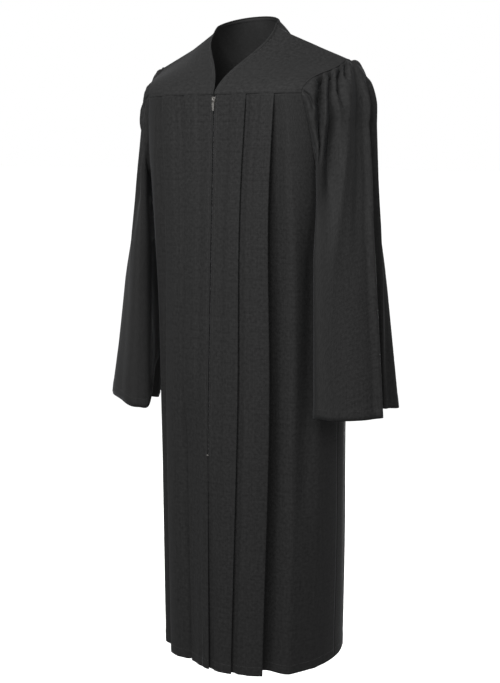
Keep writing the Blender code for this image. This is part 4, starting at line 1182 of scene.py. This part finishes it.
# %% Slider
top, foot = ZIP_TOP, ZIP_TOP - SLIDER_LENGTH
depth_top, depth_foot = (on_ring(height, [0.0], 0.0)[0, 1] for height in (top, foot))
face = depth_foot - FRONT_WALL - SOLID_GAP
rear = depth_top + FRONT_WALL + 2 * SOLID_GAP + SOLID_TAPE
wide, narrow = SLIDER_WIDTH / 2, SLIDER_WIDTH / 2 - 0.0011
shield = rounded([(-wide, top), (wide, top), (wide, top - 0.0052), (narrow, foot), (-narrow, foot),
                  (-wide, top - 0.0052)], 0.0009)
middle = (top + foot) / 2
post = rounded(oblong(POST, middle - 0.003, middle + 0.003), 0.0004)
crown = face - PLATE - BRIDGE_CLEAR
arch_turn = np.linspace(0, np.pi, 17)
bridge_path = [(0.0, face - PLATE + 0.0004 - (face - PLATE - crown - 0.0001) * np.sin(t) ** 0.7,
                middle + 0.0026 * np.cos(t) - HOLD_HEIGHT) for t in arch_turn]
slider = metal_piece("slider", [plate(shield, face - PLATE, face), plate(shield, rear, rear + PLATE),
                                plate(post, face - PLATE / 2, rear + PLATE / 2)])
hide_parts("zip_slider")
bridge = add_mesh("slider_bridge", *tube(bridge_path, 0.00062, 10), nickel)
print("slider", 1000 * SLIDER_LENGTH, "mm long")

# %% [markdown]
# ## Pull tab
# The pull is a flat blade with a window in its top, which a straight bar closes. The bar passes under the
# slider's bridge. The pull rides on a body of its own, apart from the slider.

# %% Pull tab
hinge_height, hinge_depth = middle, face - PLATE - BRIDGE_CLEAR / 2
low, high = hinge_height - PULL_LENGTH, hinge_height + PULL_WALL / 2
half, inner = PULL_WIDTH / 2, PULL_WIDTH / 2 - PULL_RAIL
near, far = hinge_depth - PULL_WALL / 2, hinge_depth + PULL_WALL / 2
window_foot = hinge_height - PULL_WINDOW
blade = [(inner, window_foot), (inner, high - 0.0013), (half * 0.72, high - 0.0013),
         (half, window_foot - 0.002), (half * 0.80, low + 0.0035), (half * 0.55, low + 0.0008)]
blade = blade + [(0.0, low)] + [(-x, height) for x, height in blade[::-1]]
bar = [(x, hinge_depth, hinge_height - HOLD_HEIGHT) for x in np.linspace(-half * 0.72, half * 0.72, 9)]
rails = [rounded([(s * half * 0.72, high - 0.0002), (s * inner, high - 0.0002), (s * inner, high - 0.0016),
                  (s * half * 0.72, high - 0.0016)][::s], 0.0003) for s in (1, -1)]
pull = metal_piece("pull_tab", [plate(blade[::-1], near, far), tube(bar, PULL_WALL / 2, 10)]
                   + [plate(rail, near, far) for rail in rails], "pull", 0.00015)
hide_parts("zip_pull_tab")
print("pull tab", round(1000 * PULL_LENGTH, 1), "mm long")

# %% [markdown]
# ## Bottom stop
# A small clip, pressed round both tapes, ends the chain. Below it the two fronts hang free.

# %% Bottom stop
stop_foot, stop_top = ZIP_FOOT + SOLID_GAP, ZIP_FOOT + SOLID_GAP + STOP_LENGTH
stop_face = on_ring(ZIP_FOOT, [0.0], 0.0)[0, 1] - FRONT_WALL - SOLID_GAP
clip = rounded(oblong(STOP_HALF, stop_foot, stop_top), 0.0007)
shank = oblong(POST, stop_foot + 0.0004, stop_top - 0.0004)
stop = metal_piece("bottom_stop", [plate(clip, stop_face - PLATE, stop_face),
                                   plate(shank, stop_face - PLATE / 2, stop_face + 0.0036)])
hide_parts("zip_bottom_stop")
print("bottom stop", 1000 * STOP_LENGTH, "mm long")

# %% [markdown]
# ## Stitches
# Hems, cuffs, the neckline and the zip are sewn with a lockstitch: on the outside it is a row of short
# stitches, each of which dives into the cloth at both ends. A stitch is a piece of round thread that starts
# and ends just under the cloth's face. The thread is polyester like the cloth, but smoother, so it glints,
# with fine bright and dark bands where its plies twist round each other.

# %% Stitches
STITCH, STITCH_GAP, THREAD = 0.0026, 0.0006, 0.00018


def outward(grid, closed=False, axis=BODY_AXIS):
    way = normals(grid, closed)
    away = (grid - (*axis, 0.0)) * (1, 1, 0)
    return way * np.sign(np.sum(way * away))


def inset_line(values, run, distance):
    """Read along each row at a distance from its first point."""
    return np.array([read_along(distance, so_long, row) for so_long, row in zip(run, values)])


def stitch_row(line, out):
    """Points and faces of a row of stitches along a line."""
    run = so_far(line)
    parts, step = [], STITCH + STITCH_GAP
    for k in range(int(run[-1] / step)):
        at = k * step + STITCH * np.array([0.0, 0.15, 0.5, 0.85, 1.0])
        height = THREAD * np.array([-1.2, 0.2, 0.6, 0.2, -1.2])[:, None]
        path = read_along(at, run, line) + read_along(at, run, out) * height
        parts.append(tube(path - (0.0, 0.0, HOLD_HEIGHT), THREAD, 5))
    return parts


def sewn(name, rows):
    made = add_mesh(name, *put_together([part for row in rows for part in row]), thread_finish)
    return made


def edge_row(grid, way, distance, half):
    """A row of stitches at a distance from a grid's first column, on the cloth's outer face."""
    run = lengths(grid, 1)
    line, out = inset_line(grid, run, distance), unit(inset_line(way, run, distance))
    return stitch_row(line + out * half, out)


def from_hem(values):
    return values[::-1].transpose(1, 0, 2)


thread_finish = streaked("spun_polyester_thread_black", ("#0b0b0b", "#161616"), 2500.0, 1.0, (0.50, 0.62),
                         IOR=1.54, Specular_IOR_Level=0.10, Sheen_Weight=0.05)
print("stitches in 100 mm:", int(0.1 / (STITCH + STITCH_GAP)))

# %% [markdown]
# ## Sewing
# The hem and the cuffs are stitched just inside their folds, the neck close to its edge, and the zip with one
# row down each front.

# %% Sewing
NECK_STITCH, HEM_STITCH, ZIP_STITCH, ZIP_HALF = 0.0060, 0.0185, 0.0060, 0.00045
stitched = {}
for side in ("left", "right"):
    piece, grid = fronts[side]
    way = outward(grid)
    beside_zip = [r for r in range(2, len(grid)) if grid[r, 0, 2] > ZIP_FOOT - 0.01]
    zip_row = edge_row(grid[beside_zip], way[beside_zip], ZIP_STITCH, ZIP_HALF)
    hem_row = edge_row(from_hem(grid), from_hem(way), HEM_STITCH, HEM_CLOTH / 2)
    stitched["front_" + side] = sewn("stitches_front_" + side, [zip_row, hem_row])
    piece, grid = fronts["yoke_" + side]
    neck_row = edge_row(grid, outward(grid), NECK_STITCH, HEM_CLOTH / 2)
    stitched["yoke_" + side] = sewn("stitches_neck_" + side, [neck_row])
    piece, grid = sleeves[side]
    way = outward(grid, True, SLEEVE_AXIS[side])
    cuff_row = edge_row(from_hem(grid), from_hem(way), HEM_STITCH, HEM_CLOTH / 2)
    stitched["sleeve_" + side] = sewn("stitches_cuff_" + side, [cuff_row])
back_way = outward(back_rows)
hem_row = edge_row(from_hem(back_rows), from_hem(back_way), HEM_STITCH, HEM_CLOTH / 2)
stitched["back"] = sewn("stitches_back", [hem_row])
neck_part = slice(middle_column - reach, middle_column + reach + 1)
neck_grid = back_yoke_rows[:, neck_part].transpose(1, 0, 2)
neck_way = outward(back_yoke_rows)[:, neck_part].transpose(1, 0, 2)
neck_row = edge_row(neck_grid, neck_way, NECK_STITCH, HEM_CLOTH / 2)
stitched["back_yoke"] = sewn("stitches_back_neck", [neck_row])
print("sewn pieces:", len(stitched))

# %% [markdown]
# ## How each piece was cut
# A sheet of cloth neither stretches nor shrinks much when it is folded, so the flat piece that it was cut
# from can be measured on the folded one: its greatest width and length along the cloth, and its area. Only
# the cloth that shows is measured, without the rows and columns that stand for seam allowances.

# %% Cut sizes
def declare(piece, grid, held, rests_on, sewn_on=(), closed=False):
    if closed:
        grid = np.concatenate([grid, grid[:, :1]], axis=1)
    width, length = float(lengths(grid, 1)[:, -1].max()), float(lengths(grid, 0)[-1].max())
    a, b = grid[1:, 1:] - grid[:-1, :-1], grid[1:, :-1] - grid[:-1, 1:]
    area = float(np.linalg.norm(np.cross(a, b), axis=2).sum() / 2)
    width, length, area = round(width, 3), round(length, 3), round(area, 4)
    print(piece.name, "cut", width, "x", length, "m, area", area, "m2")


for side in ("left", "right"):
    yoke_piece, grid = fronts["yoke_" + side]
    declare(yoke_piece, grid, "draped", ["back_yoke_piece"], [stitched["yoke_" + side]])
    piece, grid = fronts[side]
    declare(piece, grid[2:, :-2], "hung", [yoke_piece.name], [stitched["front_" + side]])
    piece, grid = sleeves[side]
    declare(piece, grid[2:], "gathered", [yoke_piece.name, "back_yoke_piece"],
            [stitched["sleeve_" + side]], closed=True)
    declare(*tapes[side], "hung", ["front_" + side])
declare(back_yoke, back_yoke_rows, "draped", ["front_yoke_piece_left"], [stitched["back_yoke"]])
declare(back, back_rows[2:], "hung", ["back_yoke_piece"], [stitched["back"]])

# %% [markdown]
# ## Floor
# A product photograph of a black garment is often taken on a sheet of white acrylic that is lit from below,
# because it stays white with no hard shadow on it. The robe hangs as on a wearer, with its hem above it.

# %% Floor
FLOOR_BELOW_HEM, FLOOR_HALF = 0.15, 60.0
floor_finish, tree, shader = new_material(
    "white_acrylic_sheet_lit_from_below", Roughness=0.55, IOR=1.49, Specular_IOR_Level=0.2,
    Emission_Color=(1.0, 1.0, 1.0, 1.0), Emission_Strength=0.92)
grain = add_noise(tree, (add_node(tree, "ShaderNodeTexCoord"), "Object"), scale=0.6, detail=3.0)
paint = add_node(tree, "ShaderNodeMix", {"data_type": "RGBA"}, Factor=grain,
                 in_6=linear("#303030"), in_7=linear("#3a3a3a"))
tree.links.new(paint.outputs[2], shader.inputs["Base Color"])
floor_mesh = bpy.data.meshes.new("studio_floor")
corners = [(x * FLOOR_HALF, y * FLOOR_HALF, -HOLD_HEIGHT - FLOOR_BELOW_HEM)
           for x, y in ((-1, -1), (1, -1), (1, 1), (-1, 1))]
floor_mesh.from_pydata(corners, [], [(0, 1, 2, 3)])
floor = bpy.data.objects.new("studio_floor", floor_mesh)
floor_mesh.materials.append(floor_finish)
bpy.context.scene.collection.objects.link(floor)
print("floor", FLOOR_BELOW_HEM, "m below the hem")

# %% [markdown]
# ## Light
# A white world gives the even part of the light. One large softbox, high and to the left of the camera, draws
# the folds, and its light falls off towards the hem. A tall one to the camera's right lifts the near sleeve a
# little, and a narrow one behind on the right gives the thin line of light down that edge. A fourth stands
# behind the robe, low and out of sight, so that its back isn't dull when the robe is turned.

# %% Light
scene = bpy.context.scene
scene.view_settings.view_transform = "Standard"
world = bpy.data.worlds.new("white_studio")
world.use_nodes = True
world.node_tree.nodes["Background"].inputs["Color"].default_value = (1.0, 1.0, 1.0, 1.0)
world.node_tree.nodes["Background"].inputs["Strength"].default_value = 1.0
scene.world = world
AIM_HEIGHT = -0.45


def softbox(name, right_of_camera, height, distance, size, watts):
    """A soft lamp facing the robe. Its place is an angle from the camera's own heading, plus to its right."""
    light = bpy.data.lights.new(name, "AREA")
    light.shape, light.size, light.size_y, light.energy = "RECTANGLE", *size, watts
    made = bpy.data.objects.new(name, light)
    turn = HEADING + np.radians(right_of_camera)
    made.location = (distance * np.sin(turn), -distance * np.cos(turn), height)
    aim = Vector((0.0, 0.0, AIM_HEIGHT)) - made.location
    made.rotation_euler = aim.to_track_quat("-Z", "Y").to_euler()
    scene.collection.objects.link(made)
    return made


softbox("key_softbox", -27.0, 1.25, 2.5, (2.0, 1.5), 410.0)
softbox("sleeve_softbox", 24.0, 0.40, 2.6, (0.8, 1.6), 55.0)
softbox("right_edge_softbox", 104.0, 0.20, 2.2, (0.7, 2.0), 10.0)
softbox("back_softbox", 172.0, -0.35, 2.8, (2.0, 1.4), 200.0).visible_camera = False
